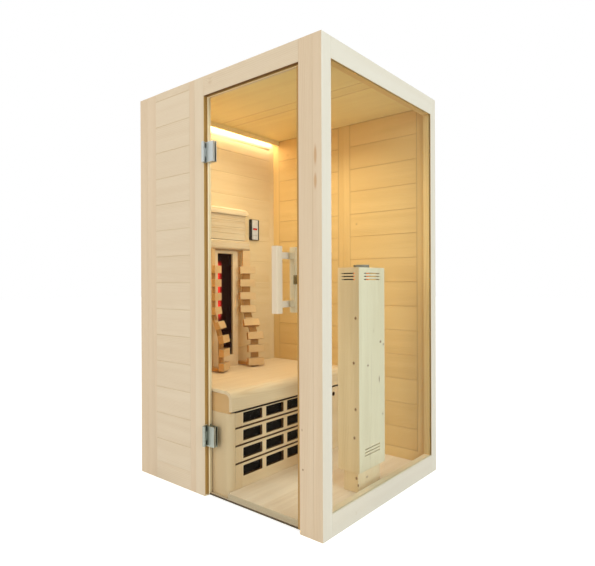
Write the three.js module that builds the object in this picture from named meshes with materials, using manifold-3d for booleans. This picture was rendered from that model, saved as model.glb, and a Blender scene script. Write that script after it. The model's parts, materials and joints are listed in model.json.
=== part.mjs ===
// Infrared sauna cabin for one person: a timber shell with a glass door and a glass side,
// a heated bench with a shaped backrest, and a free-standing heater tower.
// Millimetres, +Z up, origin on the ground under the middle of the cabin and its outer handle.
// The door wall faces -Y, the window wall +X, the bench wall -X and the far wall +Y.

import * as THREE from 'three';
import { mergeVertices } from 'three/addons/utils/BufferGeometryUtils.js';
import Module from 'manifold-3d';

const wasm = await Module();
wasm.setup();

// Shell: the door wall's widths add up to the cabin's width
const wallThickness = 45;
const cornerStileWidth = 62;
const frameStileWidth = 76;
const plankFieldWidth = 270;
const meetingStileWidth = 38;
const jambWidth = 66;
const doorOpeningWidth = 573;
const cornerPostWidth = 70;
const cabinWidth = cornerStileWidth + frameStileWidth + plankFieldWidth + meetingStileWidth
  + jambWidth + doorOpeningWidth + cornerPostWidth + wallThickness;
const cabinDepth = 1000;
const cabinHeight = 1960;
const bottomRailHeight = 91;
const headRailHeight = 90;
const roofThickness = 40;
const floorThickness = 36;
const floorLipDepth = 13.5;
const sillHeight = 10;

// Tongue-and-groove planks
const plankPitch = 132;
const firstPlankHeight = 115;
const grooveWidth = 4;
const grooveDepth = 2;

// Window wall
const windowNearStileWidth = 62;
const windowFarStileWidth = 54;
const windowTopRailHeight = 87;
const windowBottomRailHeight = 90;
const windowGlassSetback = 4;

// Far wall, two panels that meet in the middle
const farCornerStileWidth = 48;
const farMeetingLeftWidth = 32;
const farMeetingRightWidth = 47;
const farEndStileWidth = 40;
const farLeftPanelWidth = 638;

// Bench wall lining, held off the outer panel by its own frame
const liningFrameDepth = 37;
const liningBoardThickness = 15;
const liningStileWidth = 45;
const liningTopRailHeight = 60;

// Light valance under the ceiling, along the bench wall
const valanceDepth = 50;
const valanceHeight = 28;
const valanceBoard = 10;
const lightStripWidth = 12;
const lightStripHeight = 4;
const lightStripEndGap = 15;
const lightStripWallGap = 6;

// Ceiling boards meet at two V-joints
const ceilingJointFront = -45;
const ceilingJointRear = 35;

// Glass and its seats
const glassThickness = 8;
const glassGrooveDepth = 10;
const glassEdgeGap = 1;
const fitGap = 0.3;

// Door
const doorGlassSetback = 16;
const doorHingeGap = 9;
const doorLatchGap = 5;
const doorBottomGap = 8;
const doorTopGap = 6;
const sealThickness = 5;

// Door hinges: a mortised wall leaf, a pin and a clamp that grips the glass
const hingeHeight = 94;
const hingeLowerCentre = 284;
const hingeUpperDrop = 355;
const hingeAxisInset = 6;
const hingeAxisProud = 8.5;
const knuckleRadius = 8;
const endKnuckleHeight = 26;
const pinRadius = 3.5;
const pinClearance = 0.4;
const pinHeadRadius = 5;
const pinHeadHeight = 2;
const knuckleGap = 0.6;
const leafThickness = 3;
const leafDepth = 42;
const clampWidth = 54;
const clampOuterThickness = 12;
const clampInnerThickness = 4;
const clampBend = 3;
const clampWebWidth = 8;

// Door handle: an outer and an inner bar on square spacers, bolted through the glass
const handleInset = 80;
const handleCentreHeight = 1008;
const handleLength = 270;
const handleBarWidth = 30;
const handleBarDepth = 35;
const handleEdgeRadius = 4;
const handleStandoff = 38;
const handleInnerStandoff = 30;
const spacerWidth = 26;
const spacerInset = 37;
const boltRadius = 5;
const boltClearance = 0.5;

// Magnetic catch
const catchPlateWidth = 41;
const catchPlateHeight = 37;
const catchPlateThickness = 1.6;
const catchPlateInset = 2;
const magnetWidth = 22;
const magnetDepth = 16;
const magnetAirGap = 0.6;

// Bench: a bent plywood seat on a base with a rounded corner and a slotted front
const benchDepth = 566;
const seatHeight = 499;
const seatFrontDrop = 95;
const seatShellThickness = 18;
const seatNoseRadius = 44;
const seatShadowGap = 11;
const seatEndThickness = 12;
const seatEndSetback = 3;
const baseInset = 13;
const baseCornerRadius = 30;
const baseCornerReturn = 35;
const baseBoardThickness = 12;
const cleatHeight = 40;
const cleatDepth = 25;
const cleatEndGap = 55;

// Bench grille
const grilleThickness = 15;
const grilleOpeningWidth = 130;
const grilleOpeningHeight = 50;
const grilleOpeningRadius = 4;
const grilleColumnPitch = 158;
const grilleRowPitch = 83;
const grilleTopGap = 2.5;
const grilleTopBorder = 6.5;
const grilleBottomBorder = 20;
const grilleEndBorder = 50;
const grilleGrooveHeight = 9;
const grilleGrooveDepth = 7;
const grillePlainEnd = 158;
const airHoleRadius = 12.5;
const airHoleInset = 101;
const airHoleDrop = 41;
const benchHeaterThickness = 6;
const benchHeaterMargin = 12;

// Power unit under the bench and the mains inlet in the bench wall
const powerUnitDepth = 120;
const powerUnitWidth = 300;
const powerUnitHeight = 200;
const powerUnitLift = 140;
const inletWidth = 50;
const inletHeight = 30;
const inletDepth = 32;
const inletSocketMargin = 6;
const inletSocketDepth = 18;
const inletOffset = -250;
const inletLift = 160;

// Backrest heater in its frame
const emitterFrameWidth = 202;
const emitterFrameDepth = 28;
const emitterWidth = 118;
const emitterBottomRail = 69;
const emitterTopRail = 21;
const emitterGlassThickness = 4;
const emitterGlassSetback = 12;
const reflectorThickness = 10;
const reflectorTrough = 6;
const reflectorLip = 10;

// Headrest above the backrest heater
const headrestLift = 692;
const headrestWidth = 320;
const headrestDepth = 63;
const headrestCapHeight = 60;
const headrestBodyHeight = 149;
const headrestRollHeight = 43;
const headrestCapOverhang = 20;
const headrestBodyInsetFront = 10;
const headrestBodyInsetEnd = 8;
const headrestCornerRadius = 30;
const headrestNoseRadius = 16;
const headrestRollRadius = 38;
const headrestCapRound = 22;
const headrestEndRound = 18;
const headrestSlats = 4;

// Spine rests: two bent laths that carry tilted blocks
const spineReach = 98;
const spineSpacing = 117;
const spineTurn = 27;
const spineLathWidth = 45;
const spineLathThickness = 14;
const spineBlockWidth = 95;
const spineBlockHeight = 42;
const spineBlockDepth = 30;
const spineBlockPitch = 77.5;
const spineFirstBlock = 31.5;
const spineTopClearance = 50;
const spineSocket = 2;
const spineFootLift = 3;
const spineFootHeight = 18;
const lumbarBulge = 68;
const lumbarCentre = 259;
const lumbarSpan = 200;
const spineSteps = 24;

// Control panel on the bench wall
const controlWidth = 78;
const controlHeight = 130;
const controlDepth = 14;
const controlCornerRadius = 6;
const controlGap = 64;
const controlLift = 831;
const fasciaWidth = 50;
const fasciaMargin = 3;
const fasciaThickness = 3;
const displayWidth = 36;
const displayHeight = 12;
const displayLift = -2;
const displayThickness = 2;
const buttonRadius = 5;
const buttonPitch = 14;
const buttonDrop = 34;
const buttonTravel = 1.2;
const buttonProud = 2.5;
const buttonClearance = 0.4;

// Heater tower
const towerWindowGap = 42;
const towerDepth = 116;
const towerWidth = 224;
const towerHeight = 931;
const towerWall = 18;
const towerPlinthHeight = 98;
const towerPlinthInset = 19;
const slotHeight = 5;
const slotPitch = 14;
const slotCount = 3;
const slotTopDrop = 27;
const slotBottomLift = 68;
const slotFaceWidth = 133;
const slotSideWidth = 72;
const towerEmitterWidth = 140;
const towerEmitterHeight = 560;
const towerEmitterLift = 180;
const towerEmitterThickness = 8;
const towerEmitterSetback = 4;

// Aroma dish on the tower
const dishRimRadius = 37;
const dishRimWidth = 9;
const dishRimHeight = 14;
const dishDepth = 14;
const dishWall = 2;
const dishHoleClearance = 1;

// Facets of round pieces
const arcSteps = 8;
const roundSteps = 24;

// Planes that the pieces share
const benchSide = -cabinWidth / 2;
const windowSide = cabinWidth / 2;
const doorSide = -cabinDepth / 2;
const farSide = cabinDepth / 2;
const doorInner = doorSide + wallThickness;
const farInner = farSide - wallThickness;
const windowInner = windowSide - wallThickness;
const benchInner = benchSide + wallThickness;
const liningFace = benchInner + liningFrameDepth;
const ceilingHeight = cabinHeight - roofThickness;
const doorHeadHeight = cabinHeight - headRailHeight;

const latchX = windowInner - cornerPostWidth;
const jambX = latchX - doorOpeningWidth;
const meetingX = jambX - jambWidth;
const plankEndX = meetingX - meetingStileWidth;
const frameStartX = benchSide + cornerStileWidth;
const plankStartX = frameStartX + frameStileWidth;

const doorGlassFront = doorSide + doorGlassSetback;
const doorGlassBack = doorGlassFront + glassThickness;
const doorGlassHingeX = jambX + doorHingeGap;
const doorGlassLatchX = latchX - doorLatchGap;
const doorGlassTop = doorHeadHeight - doorTopGap;

const seatFront = liningFace + benchDepth;
const seatUnderside = seatHeight - seatShellThickness;
const seatLip = seatHeight - seatFrontDrop;
const baseTop = seatLip - seatShadowGap;
const baseFront = seatFront - baseInset;

const headrestBottom = seatHeight + headrestLift;
const handleX = latchX - handleInset;
const towerBack = windowInner - towerWindowGap;
const towerFront = towerBack - towerDepth;
const towerBottom = floorThickness + towerPlinthHeight;
const towerTop = towerBottom + towerHeight;

// Finishes
const palette = {
  outerTimber: { color: 0xdccaae, roughness: 0.6, metalness: 0 },
  innerTimber: { color: 0xe1b878, roughness: 0.6, metalness: 0 },
  towerTimber: { color: 0xdcd6b8, roughness: 0.6, metalness: 0 },
  restTimber: { color: 0xdca866, roughness: 0.6, metalness: 0 },
  glass: { color: 0xdfe6e2, roughness: 0.05, metalness: 0 },
  darkGlass: { color: 0x140c0c, roughness: 0.1, metalness: 0 },
  steel: { color: 0xa9b1b3, roughness: 0.35, metalness: 1 },
  heater: { color: 0x16120f, roughness: 0.7, metalness: 0 },
  blackPlastic: { color: 0x1c1817, roughness: 0.45, metalness: 0 },
  greyPlastic: { color: 0xb9b5ae, roughness: 0.5, metalness: 0 },
  display: { color: 0xc23a3a, roughness: 0.2, metalness: 0 },
  rubber: { color: 0x3a2b1c, roughness: 0.8, metalness: 0 },
  light: { color: 0xfff2d8, roughness: 0.5, metalness: 0 },
};

// The walls are drawn about their own middle, and the outer handle moves the origin forward
const handleReach = handleStandoff + handleBarDepth - doorGlassSetback;
const originShift = handleReach / 2;
const cabin = new THREE.Group();

function addPiece(name, geometry, finish) {
  const mesh = new THREE.Mesh(geometry, new THREE.MeshStandardMaterial(palette[finish]));
  mesh.name = name;
  mesh.position.y = originShift;
  cabin.add(mesh);
}

// Geometry helpers: a span is a pair of low and high coordinates
const axisX = new THREE.Vector3(1, 0, 0);
const axisY = new THREE.Vector3(0, 1, 0);
const axisZ = new THREE.Vector3(0, 0, 1);

function around(centre, width) {
  return [centre - width / 2, centre + width / 2];
}

function block(x, y, z) {
  const geometry = new THREE.BoxGeometry(x[1] - x[0], y[1] - y[0], z[1] - z[0]);
  return geometry.translate((x[0] + x[1]) / 2, (y[0] + y[1]) / 2, (z[0] + z[1]) / 2);
}

function outline(points) {
  return new THREE.Shape(points.map(([u, v]) => new THREE.Vector2(u, v)));
}

function rectangle(u, v) {
  return outline([[u[0], v[0]], [u[1], v[0]], [u[1], v[1]], [u[0], v[1]]]);
}

function roundedRectangle(u, v, radius) {
  const shape = new THREE.Shape();
  shape.moveTo(u[0] + radius, v[0]);
  shape.absarc(u[1] - radius, v[0] + radius, radius, -Math.PI / 2, 0);
  shape.absarc(u[1] - radius, v[1] - radius, radius, 0, Math.PI / 2);
  shape.absarc(u[0] + radius, v[1] - radius, radius, Math.PI / 2, Math.PI);
  shape.absarc(u[0] + radius, v[0] + radius, radius, Math.PI, 1.5 * Math.PI);
  return shape;
}

function framed(outer, inner) {
  outer.holes.push(inner);
  return outer;
}

function extruded(shape, span) {
  const depth = span[1] - span[0];
  return new THREE.ExtrudeGeometry(shape, { depth, bevelEnabled: false, curveSegments: arcSteps });
}

// A shape drawn on Y and Z, pushed along X
function alongX(shape, x) {
  const turn = new THREE.Matrix4().makeBasis(axisY, axisZ, axisX);
  return extruded(shape, x).applyMatrix4(turn).translate(x[0], 0, 0);
}

// A shape drawn on X and Z, pushed along Y
function alongY(shape, y) {
  const turn = new THREE.Matrix4().makeBasis(axisX, axisZ, axisY.clone().negate());
  return extruded(shape, y).applyMatrix4(turn).translate(0, y[1], 0);
}

// A shape drawn on X and Y, pushed along Z
function alongZ(shape, z) {
  return extruded(shape, z).translate(0, 0, z[0]);
}

function rodAlongZ(x, y, z, radius) {
  const rod = new THREE.CylinderGeometry(radius, radius, z[1] - z[0], roundSteps);
  return rod.rotateX(Math.PI / 2).translate(x, y, (z[0] + z[1]) / 2);
}

function rodAlongY(x, y, z, radius) {
  const rod = new THREE.CylinderGeometry(radius, radius, y[1] - y[0], roundSteps);
  return rod.translate(x, (y[0] + y[1]) / 2, z);
}

function rodAlongX(x, y, z, radius) {
  const rod = new THREE.CylinderGeometry(radius, radius, x[1] - x[0], roundSteps);
  return rod.rotateZ(Math.PI / 2).translate((x[0] + x[1]) / 2, y, z);
}

// Booleans work on closed meshes with shared corners
function solid(geometry) {
  const bare = geometry.clone();
  bare.deleteAttribute('normal');
  bare.deleteAttribute('uv');
  const merged = mergeVertices(bare);
  const vertProperties = new Float32Array(merged.getAttribute('position').array);
  const triVerts = new Uint32Array(merged.getIndex().array);
  return new wasm.Manifold(new wasm.Mesh({ numProp: 3, vertProperties, triVerts }));
}

function toGeometry(body) {
  const mesh = body.getMesh();
  const geometry = new THREE.BufferGeometry();
  geometry.setAttribute('position', new THREE.BufferAttribute(mesh.vertProperties, 3));
  geometry.setIndex(new THREE.BufferAttribute(mesh.triVerts, 1));
  geometry.computeVertexNormals();
  return geometry;
}

function joined(geometries) {
  return toGeometry(geometries.map(solid).reduce((body, piece) => body.add(piece)));
}

function cut(geometry, tools) {
  return toGeometry(tools.map(solid).reduce((body, tool) => body.subtract(tool), solid(geometry)));
}

function common(first, second) {
  return toGeometry(solid(first).intersect(solid(second)));
}

// Plank walls: a slab whose faces carry a V at each plank joint
function plankJoints(z) {
  const joints = [];
  const first = bottomRailHeight + firstPlankHeight;
  for (let joint = first; joint < z[1] - grooveWidth; joint += plankPitch) {
    if (joint > z[0] + grooveWidth) {
      joints.push(joint);
    }
  }
  return joints;
}

function grooved(face, inward, joints) {
  const points = [];
  for (const joint of joints) {
    points.push([face, joint - grooveWidth / 2]);
    points.push([face + inward * grooveDepth, joint]);
    points.push([face, joint + grooveWidth / 2]);
  }
  return points;
}

function plankOutline(faces, z, grooveLow, grooveHigh) {
  const joints = plankJoints(z);
  const up = grooveHigh ? grooved(faces[1], -1, joints) : [];
  const down = grooveLow ? grooved(faces[0], 1, joints).reverse() : [];
  return outline([
    [faces[0], z[0]], [faces[1], z[0]], ...up,
    [faces[1], z[1]], [faces[0], z[1]], ...down,
  ]);
}

// Floor in front of the bench, with a lip in the doorway and a low sill before the bench
function buildFloor() {
  const lipFront = doorInner - floorLipDepth;
  const panel = block([baseFront, windowInner], [doorInner, farInner], [0, floorThickness]);
  const lip = block([baseFront, latchX], [lipFront, doorInner + floorLipDepth], [0, floorThickness]);
  const sill = block([jambX, baseFront + floorLipDepth], [lipFront, doorInner], [0, sillHeight]);
  addPiece('floor_panel', joined([panel, lip, sill]), 'innerTimber');
}

// Door wall: a fixed panel of planks, the jamb, the rail over the door and the corner post
function buildDoorWall() {
  const wall = [doorSide, doorInner];
  const height = [0, cabinHeight];
  addPiece('front_corner_stile', block([benchSide, frameStartX], wall, height), 'outerTimber');

  const frame = outline([
    [frameStartX, 0], [meetingX, 0], [meetingX, cabinHeight], [plankEndX, cabinHeight],
    [plankEndX, bottomRailHeight], [plankStartX, bottomRailHeight],
    [plankStartX, cabinHeight], [frameStartX, cabinHeight],
  ]);
  addPiece('front_panel_frame', alongY(frame, wall), 'outerTimber');

  const planks = plankOutline(wall, [bottomRailHeight, cabinHeight], true, true);
  addPiece('front_panel_planks', alongX(planks, [plankStartX, plankEndX]), 'outerTimber');

  const mortises = hingeCentres.map((centre) => block(
    [jambX - leafThickness - fitGap, jambX + leafThickness],
    [doorSide - leafThickness, doorSide + leafDepth + fitGap],
    around(centre, hingeHeight + 2 * fitGap),
  ));
  const jamb = cut(block([meetingX, jambX], wall, height), mortises);
  addPiece('door_jamb_post', jamb, 'outerTimber');

  const headRail = block([jambX, latchX], wall, [doorHeadHeight, cabinHeight]);
  addPiece('door_head_rail', headRail, 'outerTimber');
  addPiece('front_corner_post', block([latchX, windowInner], wall, height), 'outerTimber');
}

// Window wall: two stiles and two rails, grooved for the fixed pane
function buildWindowWall() {
  const wall = [windowInner, windowSide];
  const paneOuter = windowSide - windowGlassSetback;
  const pane = [paneOuter - glassThickness, paneOuter];
  const slot = [pane[0] - fitGap, pane[1] + fitGap];
  const openY = [doorSide + windowNearStileWidth, farSide - windowFarStileWidth];
  const openZ = [windowBottomRailHeight, cabinHeight - windowTopRailHeight];

  // A rectangle on the wall's thickness and one more axis, with the slot in its edge at rim
  const slotted = (back, rim) => {
    const floor = rim + Math.sign(back - rim) * glassGrooveDepth;
    return outline([
      [wall[0], back], [wall[1], back], [wall[1], rim], [slot[1], rim],
      [slot[1], floor], [slot[0], floor], [slot[0], rim], [wall[0], rim],
    ]);
  };
  const height = [0, cabinHeight];
  addPiece('window_near_stile', alongZ(slotted(doorSide, openY[0]), height), 'outerTimber');
  addPiece('window_far_stile', alongZ(slotted(farSide, openY[1]), height), 'outerTimber');
  addPiece('window_top_rail', alongY(slotted(cabinHeight, openZ[1]), openY), 'outerTimber');
  addPiece('window_bottom_rail', alongY(slotted(0, openZ[0]), openY), 'outerTimber');

  const seat = glassGrooveDepth - glassEdgeGap;
  const paneY = [openY[0] - seat, openY[1] + seat];
  const paneZ = [openZ[0] - seat, openZ[1] + seat];
  addPiece('window_glass', block(pane, paneY, paneZ), 'glass');
}

// Far wall: two framed plank panels
function buildFarWall() {
  const wall = [farInner, farSide];
  const fieldZ = [bottomRailHeight, ceilingHeight];
  const splitX = benchSide + farLeftPanelWidth;
  const panels = [
    {
      name: 'far_left',
      outer: [benchSide, splitX],
      field: [liningFace + farCornerStileWidth, splitX - farMeetingLeftWidth],
    },
    {
      name: 'far_right',
      outer: [splitX, windowInner],
      field: [splitX + farMeetingRightWidth, windowInner - farEndStileWidth],
    },
  ];
  for (const panel of panels) {
    const ring = framed(rectangle(panel.outer, [0, cabinHeight]), rectangle(panel.field, fieldZ));
    addPiece(`${panel.name}_frame`, alongY(ring, wall), 'innerTimber');
    const planks = plankOutline(wall, fieldZ, true, true);
    addPiece(`${panel.name}_planks`, alongX(planks, panel.field), 'innerTimber');
  }
}

// Bench wall: the outer panel with the mains inlet, then a lining on its own frame
function buildBenchWall() {
  const insideY = [doorInner, farInner];
  const outer = plankOutline([benchSide, benchInner], [0, cabinHeight], true, false);
  const inletHole = block(
    [benchSide - inletDepth, benchInner + inletDepth],
    around(inletOffset, inletWidth + 2 * fitGap),
    around(inletLift, inletHeight + 2 * fitGap),
  );
  addPiece('bench_wall_panel', cut(alongY(outer, insideY), [inletHole]), 'outerTimber');

  const inletBody = block(
    [benchSide, benchSide + inletDepth],
    around(inletOffset, inletWidth),
    around(inletLift, inletHeight),
  );
  const inletSocket = block(
    [benchSide - inletDepth, benchSide + inletSocketDepth],
    around(inletOffset, inletWidth - 2 * inletSocketMargin),
    around(inletLift, inletHeight - 2 * inletSocketMargin),
  );
  addPiece('mains_inlet', cut(inletBody, [inletSocket]), 'blackPlastic');

  const fieldY = [doorInner + liningStileWidth, farInner - liningStileWidth];
  const fieldZ = [bottomRailHeight, ceilingHeight - liningTopRailHeight];
  const ring = framed(rectangle(insideY, [0, ceilingHeight]), rectangle(fieldY, fieldZ));
  addPiece('lining_frame', alongX(ring, [benchInner, liningFace]), 'innerTimber');
  const lining = plankOutline([liningFace - liningBoardThickness, liningFace], fieldZ, false, true);
  addPiece('lining_planks', alongY(lining, fieldY), 'innerTimber');
}

// Roof, and the light valance that hangs from it
function buildRoof() {
  const joints = [ceilingJointFront, ceilingJointRear];
  const underside = joints.flatMap((joint) => [
    [joint - grooveWidth / 2, ceilingHeight],
    [joint, ceilingHeight + grooveDepth],
    [joint + grooveWidth / 2, ceilingHeight],
  ]);
  const roof = outline([
    [doorInner, ceilingHeight], ...underside, [farInner, ceilingHeight],
    [farInner, cabinHeight], [doorInner, cabinHeight],
  ]);
  addPiece('roof_panel', alongX(roof, [benchInner, windowInner]), 'innerTimber');

  const valanceFront = liningFace + valanceDepth;
  const valanceUnder = ceilingHeight - valanceBoard;
  const valance = outline([
    [liningFace, valanceUnder], [valanceFront - valanceBoard, valanceUnder],
    [valanceFront - valanceBoard, ceilingHeight - valanceHeight],
    [valanceFront, ceilingHeight - valanceHeight],
    [valanceFront, ceilingHeight], [liningFace, ceilingHeight],
  ]);
  addPiece('light_valance', alongY(valance, [doorInner, farInner]), 'innerTimber');

  const stripX = liningFace + lightStripWallGap;
  const strip = block(
    [stripX, stripX + lightStripWidth],
    [doorInner + lightStripEndGap, farInner - lightStripEndGap],
    [valanceUnder - lightStripHeight, valanceUnder],
  );
  addPiece('light_strip', strip, 'light');
}

// Door: the pane, its seal, two hinges, the double handle and the magnetic catch
const hingeCentres = [cabinHeight - hingeUpperDrop, hingeLowerCentre];
const hingeNames = ['upper_hinge', 'lower_hinge'];
const hingeX = jambX + hingeAxisInset;
const hingeY = doorSide - hingeAxisProud;
const spacerHeights = [
  handleCentreHeight + handleLength / 2 - spacerInset,
  handleCentreHeight - handleLength / 2 + spacerInset,
];

function buildDoorPane() {
  const pane = block(
    [doorGlassHingeX, doorGlassLatchX],
    [doorGlassFront, doorGlassBack],
    [doorBottomGap, doorGlassTop],
  );
  const boltHoles = spacerHeights.map((height) => rodAlongY(
    handleX,
    [doorGlassFront - glassThickness, doorGlassBack + glassThickness],
    height,
    boltRadius + boltClearance,
  ));
  addPiece('door_glass', cut(pane, boltHoles), 'glass');

  const seal = outline([
    [jambX, doorBottomGap], [jambX + sealThickness, doorBottomGap],
    [jambX + sealThickness, doorHeadHeight - sealThickness],
    [latchX, doorHeadHeight - sealThickness],
    [latchX, doorHeadHeight], [jambX, doorHeadHeight],
  ]);
  addPiece('door_seal', alongY(seal, [doorGlassFront, doorGlassBack]), 'rubber');
}

function buildHinge(name, centre) {
  const reach = around(centre, hingeHeight);
  const ends = [[reach[0], reach[0] + endKnuckleHeight], [reach[1] - endKnuckleHeight, reach[1]]];
  const middle = [ends[0][1] + knuckleGap, ends[1][0] - knuckleGap];
  const bore = rodAlongZ(hingeX, hingeY, around(centre, 2 * hingeHeight), pinRadius + pinClearance);

  const leafX = [jambX - leafThickness, jambX];
  const leaf = [block(leafX, [doorSide, doorSide + leafDepth], reach)];
  for (const end of ends) {
    leaf.push(block(leafX, [hingeY, doorSide + leafThickness], end));
    leaf.push(rodAlongZ(hingeX, hingeY, end, knuckleRadius));
  }
  addPiece(`${name}_wall_leaf`, cut(joined(leaf), [bore]), 'steel');

  const headZ = [reach[1] + fitGap, reach[1] + fitGap + pinHeadHeight];
  const shaft = rodAlongZ(hingeX, hingeY, [reach[0], headZ[1]], pinRadius);
  const head = rodAlongZ(hingeX, hingeY, headZ, pinHeadRadius);
  addPiece(`${name}_pin`, joined([shaft, head]), 'steel');

  const outerPlate = [doorGlassFront - fitGap - clampOuterThickness, doorGlassFront - fitGap];
  const innerPlate = [doorGlassBack + fitGap, doorGlassBack + fitGap + clampInnerThickness];
  const bendX = [doorGlassHingeX - fitGap - clampBend, doorGlassHingeX - fitGap];
  const plateX = [bendX[0], bendX[0] + clampWidth];
  const webX = [bendX[1] - clampWebWidth, bendX[1]];
  const clamp = [
    block(plateX, outerPlate, reach),
    block(plateX, innerPlate, reach),
    block(bendX, [outerPlate[0], innerPlate[1]], reach),
    block(webX, [hingeY, outerPlate[1]], middle),
    rodAlongZ(hingeX, hingeY, middle, knuckleRadius),
  ];
  addPiece(`${name}_clamp`, cut(joined(clamp), [bore]), 'steel');
}

function buildHandle() {
  const outerBack = doorGlassFront - handleStandoff;
  const innerFront = doorGlassBack + handleInnerStandoff;
  const barX = around(handleX, handleBarWidth);
  const barZ = around(handleCentreHeight, handleLength);
  const spacerX = around(handleX, spacerWidth);
  const bar = (y) => alongZ(roundedRectangle(barX, y, handleEdgeRadius), barZ);
  const spacers = (y) => spacerHeights.map((height) => block(spacerX, y, around(height, spacerWidth)));

  const outerBar = bar([outerBack - handleBarDepth, outerBack]);
  const outerSpacers = spacers([outerBack - handleEdgeRadius, doorGlassFront - fitGap]);
  addPiece('handle_outer_bar', joined([outerBar, ...outerSpacers]), 'outerTimber');

  const innerBar = bar([innerFront, innerFront + handleBarDepth]);
  const innerSpacers = spacers([doorGlassBack + fitGap, innerFront + handleEdgeRadius]);
  const boltSpan = [doorGlassFront, innerFront];
  const bolts = spacerHeights.map((height) => rodAlongY(handleX, boltSpan, height, boltRadius));
  addPiece('handle_inner_bar', joined([innerBar, ...innerSpacers, ...bolts]), 'outerTimber');
}

function buildCatch() {
  const plateEnd = doorGlassLatchX - catchPlateInset;
  const plateBack = doorGlassBack + catchPlateThickness;
  const plateZ = around(handleCentreHeight, catchPlateHeight);
  const plate = block([plateEnd - catchPlateWidth, plateEnd], [doorGlassBack, plateBack], plateZ);
  addPiece('catch_plate', plate, 'blackPlastic');

  const magnetFront = plateBack + magnetAirGap;
  const magnet = block([latchX - magnetWidth, latchX], [magnetFront, magnetFront + magnetDepth], plateZ);
  addPiece('catch_magnet', magnet, 'blackPlastic');
}

// Bench
function buildBench() {
  const insideY = [doorInner, farInner];
  const bendZ = seatHeight - seatNoseRadius;
  const innerRadius = seatNoseRadius - seatShellThickness;
  const innerFront = seatFront - seatShellThickness;

  const shell = new THREE.Shape();
  shell.moveTo(liningFace, seatUnderside);
  shell.absarc(seatFront - seatNoseRadius, bendZ, innerRadius, Math.PI / 2, 0, true);
  shell.lineTo(innerFront, seatLip);
  shell.lineTo(seatFront, seatLip);
  shell.absarc(seatFront - seatNoseRadius, bendZ, seatNoseRadius, 0, Math.PI / 2);
  shell.lineTo(liningFace, seatHeight);
  addPiece('seat_shell', alongY(shell, insideY), 'innerTimber');

  const end = new THREE.Shape();
  end.moveTo(liningFace, baseTop);
  end.lineTo(innerFront - fitGap, baseTop);
  end.absarc(seatFront - seatNoseRadius, bendZ, innerRadius - fitGap, 0, Math.PI / 2);
  end.lineTo(liningFace, seatUnderside - fitGap);
  const endY = doorInner + seatEndSetback;
  addPiece('seat_end_panel', alongY(end, [endY, endY + seatEndThickness]), 'innerTimber');

  // Base end: a board that turns the front corner in a quarter round
  const cornerX = baseFront - baseCornerRadius;
  const cornerY = doorInner + baseCornerRadius;
  const grilleStart = doorInner + baseCornerReturn;
  const base = new THREE.Shape();
  base.moveTo(liningFace, doorInner);
  base.absarc(cornerX, cornerY, baseCornerRadius, -Math.PI / 2, 0);
  base.lineTo(baseFront, grilleStart);
  base.lineTo(baseFront - baseBoardThickness, grilleStart);
  base.absarc(cornerX, cornerY, baseCornerRadius - baseBoardThickness, 0, -Math.PI / 2, true);
  base.lineTo(liningFace, doorInner + baseBoardThickness);
  addPiece('bench_end_panel', alongZ(base, [0, baseTop]), 'innerTimber');

  buildGrille([grilleStart, farInner]);

  const cleatTop = seatUnderside;
  const cleatY = [doorInner + cleatEndGap, farInner - cleatEndGap];
  const cleat = block([liningFace, liningFace + cleatDepth], cleatY, [cleatTop - cleatHeight, cleatTop]);
  addPiece('bench_cleat', cleat, 'innerTimber');

  const unit = block(
    [liningFace, liningFace + powerUnitDepth],
    around(0, powerUnitWidth),
    [powerUnitLift, powerUnitLift + powerUnitHeight],
  );
  addPiece('power_unit', unit, 'greyPlastic');
}

function buildGrille(y) {
  const back = baseFront - grilleThickness;
  const firstTop = baseTop - grilleTopBorder;
  const mullion = grilleColumnPitch - grilleOpeningWidth;
  const slat = grilleRowPitch - grilleOpeningHeight;
  const fieldStart = y[0] + grilleEndBorder;
  const fieldLength = y[1] - grillePlainEnd - grilleEndBorder - fieldStart;
  const fieldHeight = firstTop - floorThickness - grilleBottomBorder;
  const columns = Math.floor((fieldLength + mullion) / grilleColumnPitch);
  const rows = Math.floor((fieldHeight + slat) / grilleRowPitch);
  const fieldEnd = fieldStart + columns * grilleColumnPitch - mullion;
  const grooveY = [y[0] - grilleEndBorder, fieldEnd + grilleEndBorder];

  const through = [back - grilleThickness, baseFront + grilleThickness];
  const tools = [rodAlongX(through, y[1] - airHoleInset, baseTop - airHoleDrop, airHoleRadius)];
  for (let row = 0; row < rows; row += 1) {
    const top = firstTop - row * grilleRowPitch;
    for (let column = 0; column < columns; column += 1) {
      const left = fieldStart + column * grilleColumnPitch;
      const opening = [left, left + grilleOpeningWidth];
      const slot = roundedRectangle(opening, [top - grilleOpeningHeight, top], grilleOpeningRadius);
      tools.push(alongX(slot, through));
    }
    if (row === rows - 1) continue;
    const joint = around(top - grilleOpeningHeight - slat / 2, grilleGrooveHeight);
    const groove = [baseFront - grilleGrooveDepth, baseFront + grilleThickness];
    tools.push(block(groove, grooveY, joint));
  }
  const board = block([back, baseFront], y, [0, baseTop - grilleTopGap]);
  addPiece('bench_grille', cut(board, tools), 'innerTimber');

  const heater = block(
    [back - benchHeaterThickness, back],
    [y[0] + benchHeaterMargin, grooveY[1] - benchHeaterMargin],
    [floorThickness + benchHeaterMargin, baseTop],
  );
  addPiece('bench_heater', heater, 'heater');
}

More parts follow.
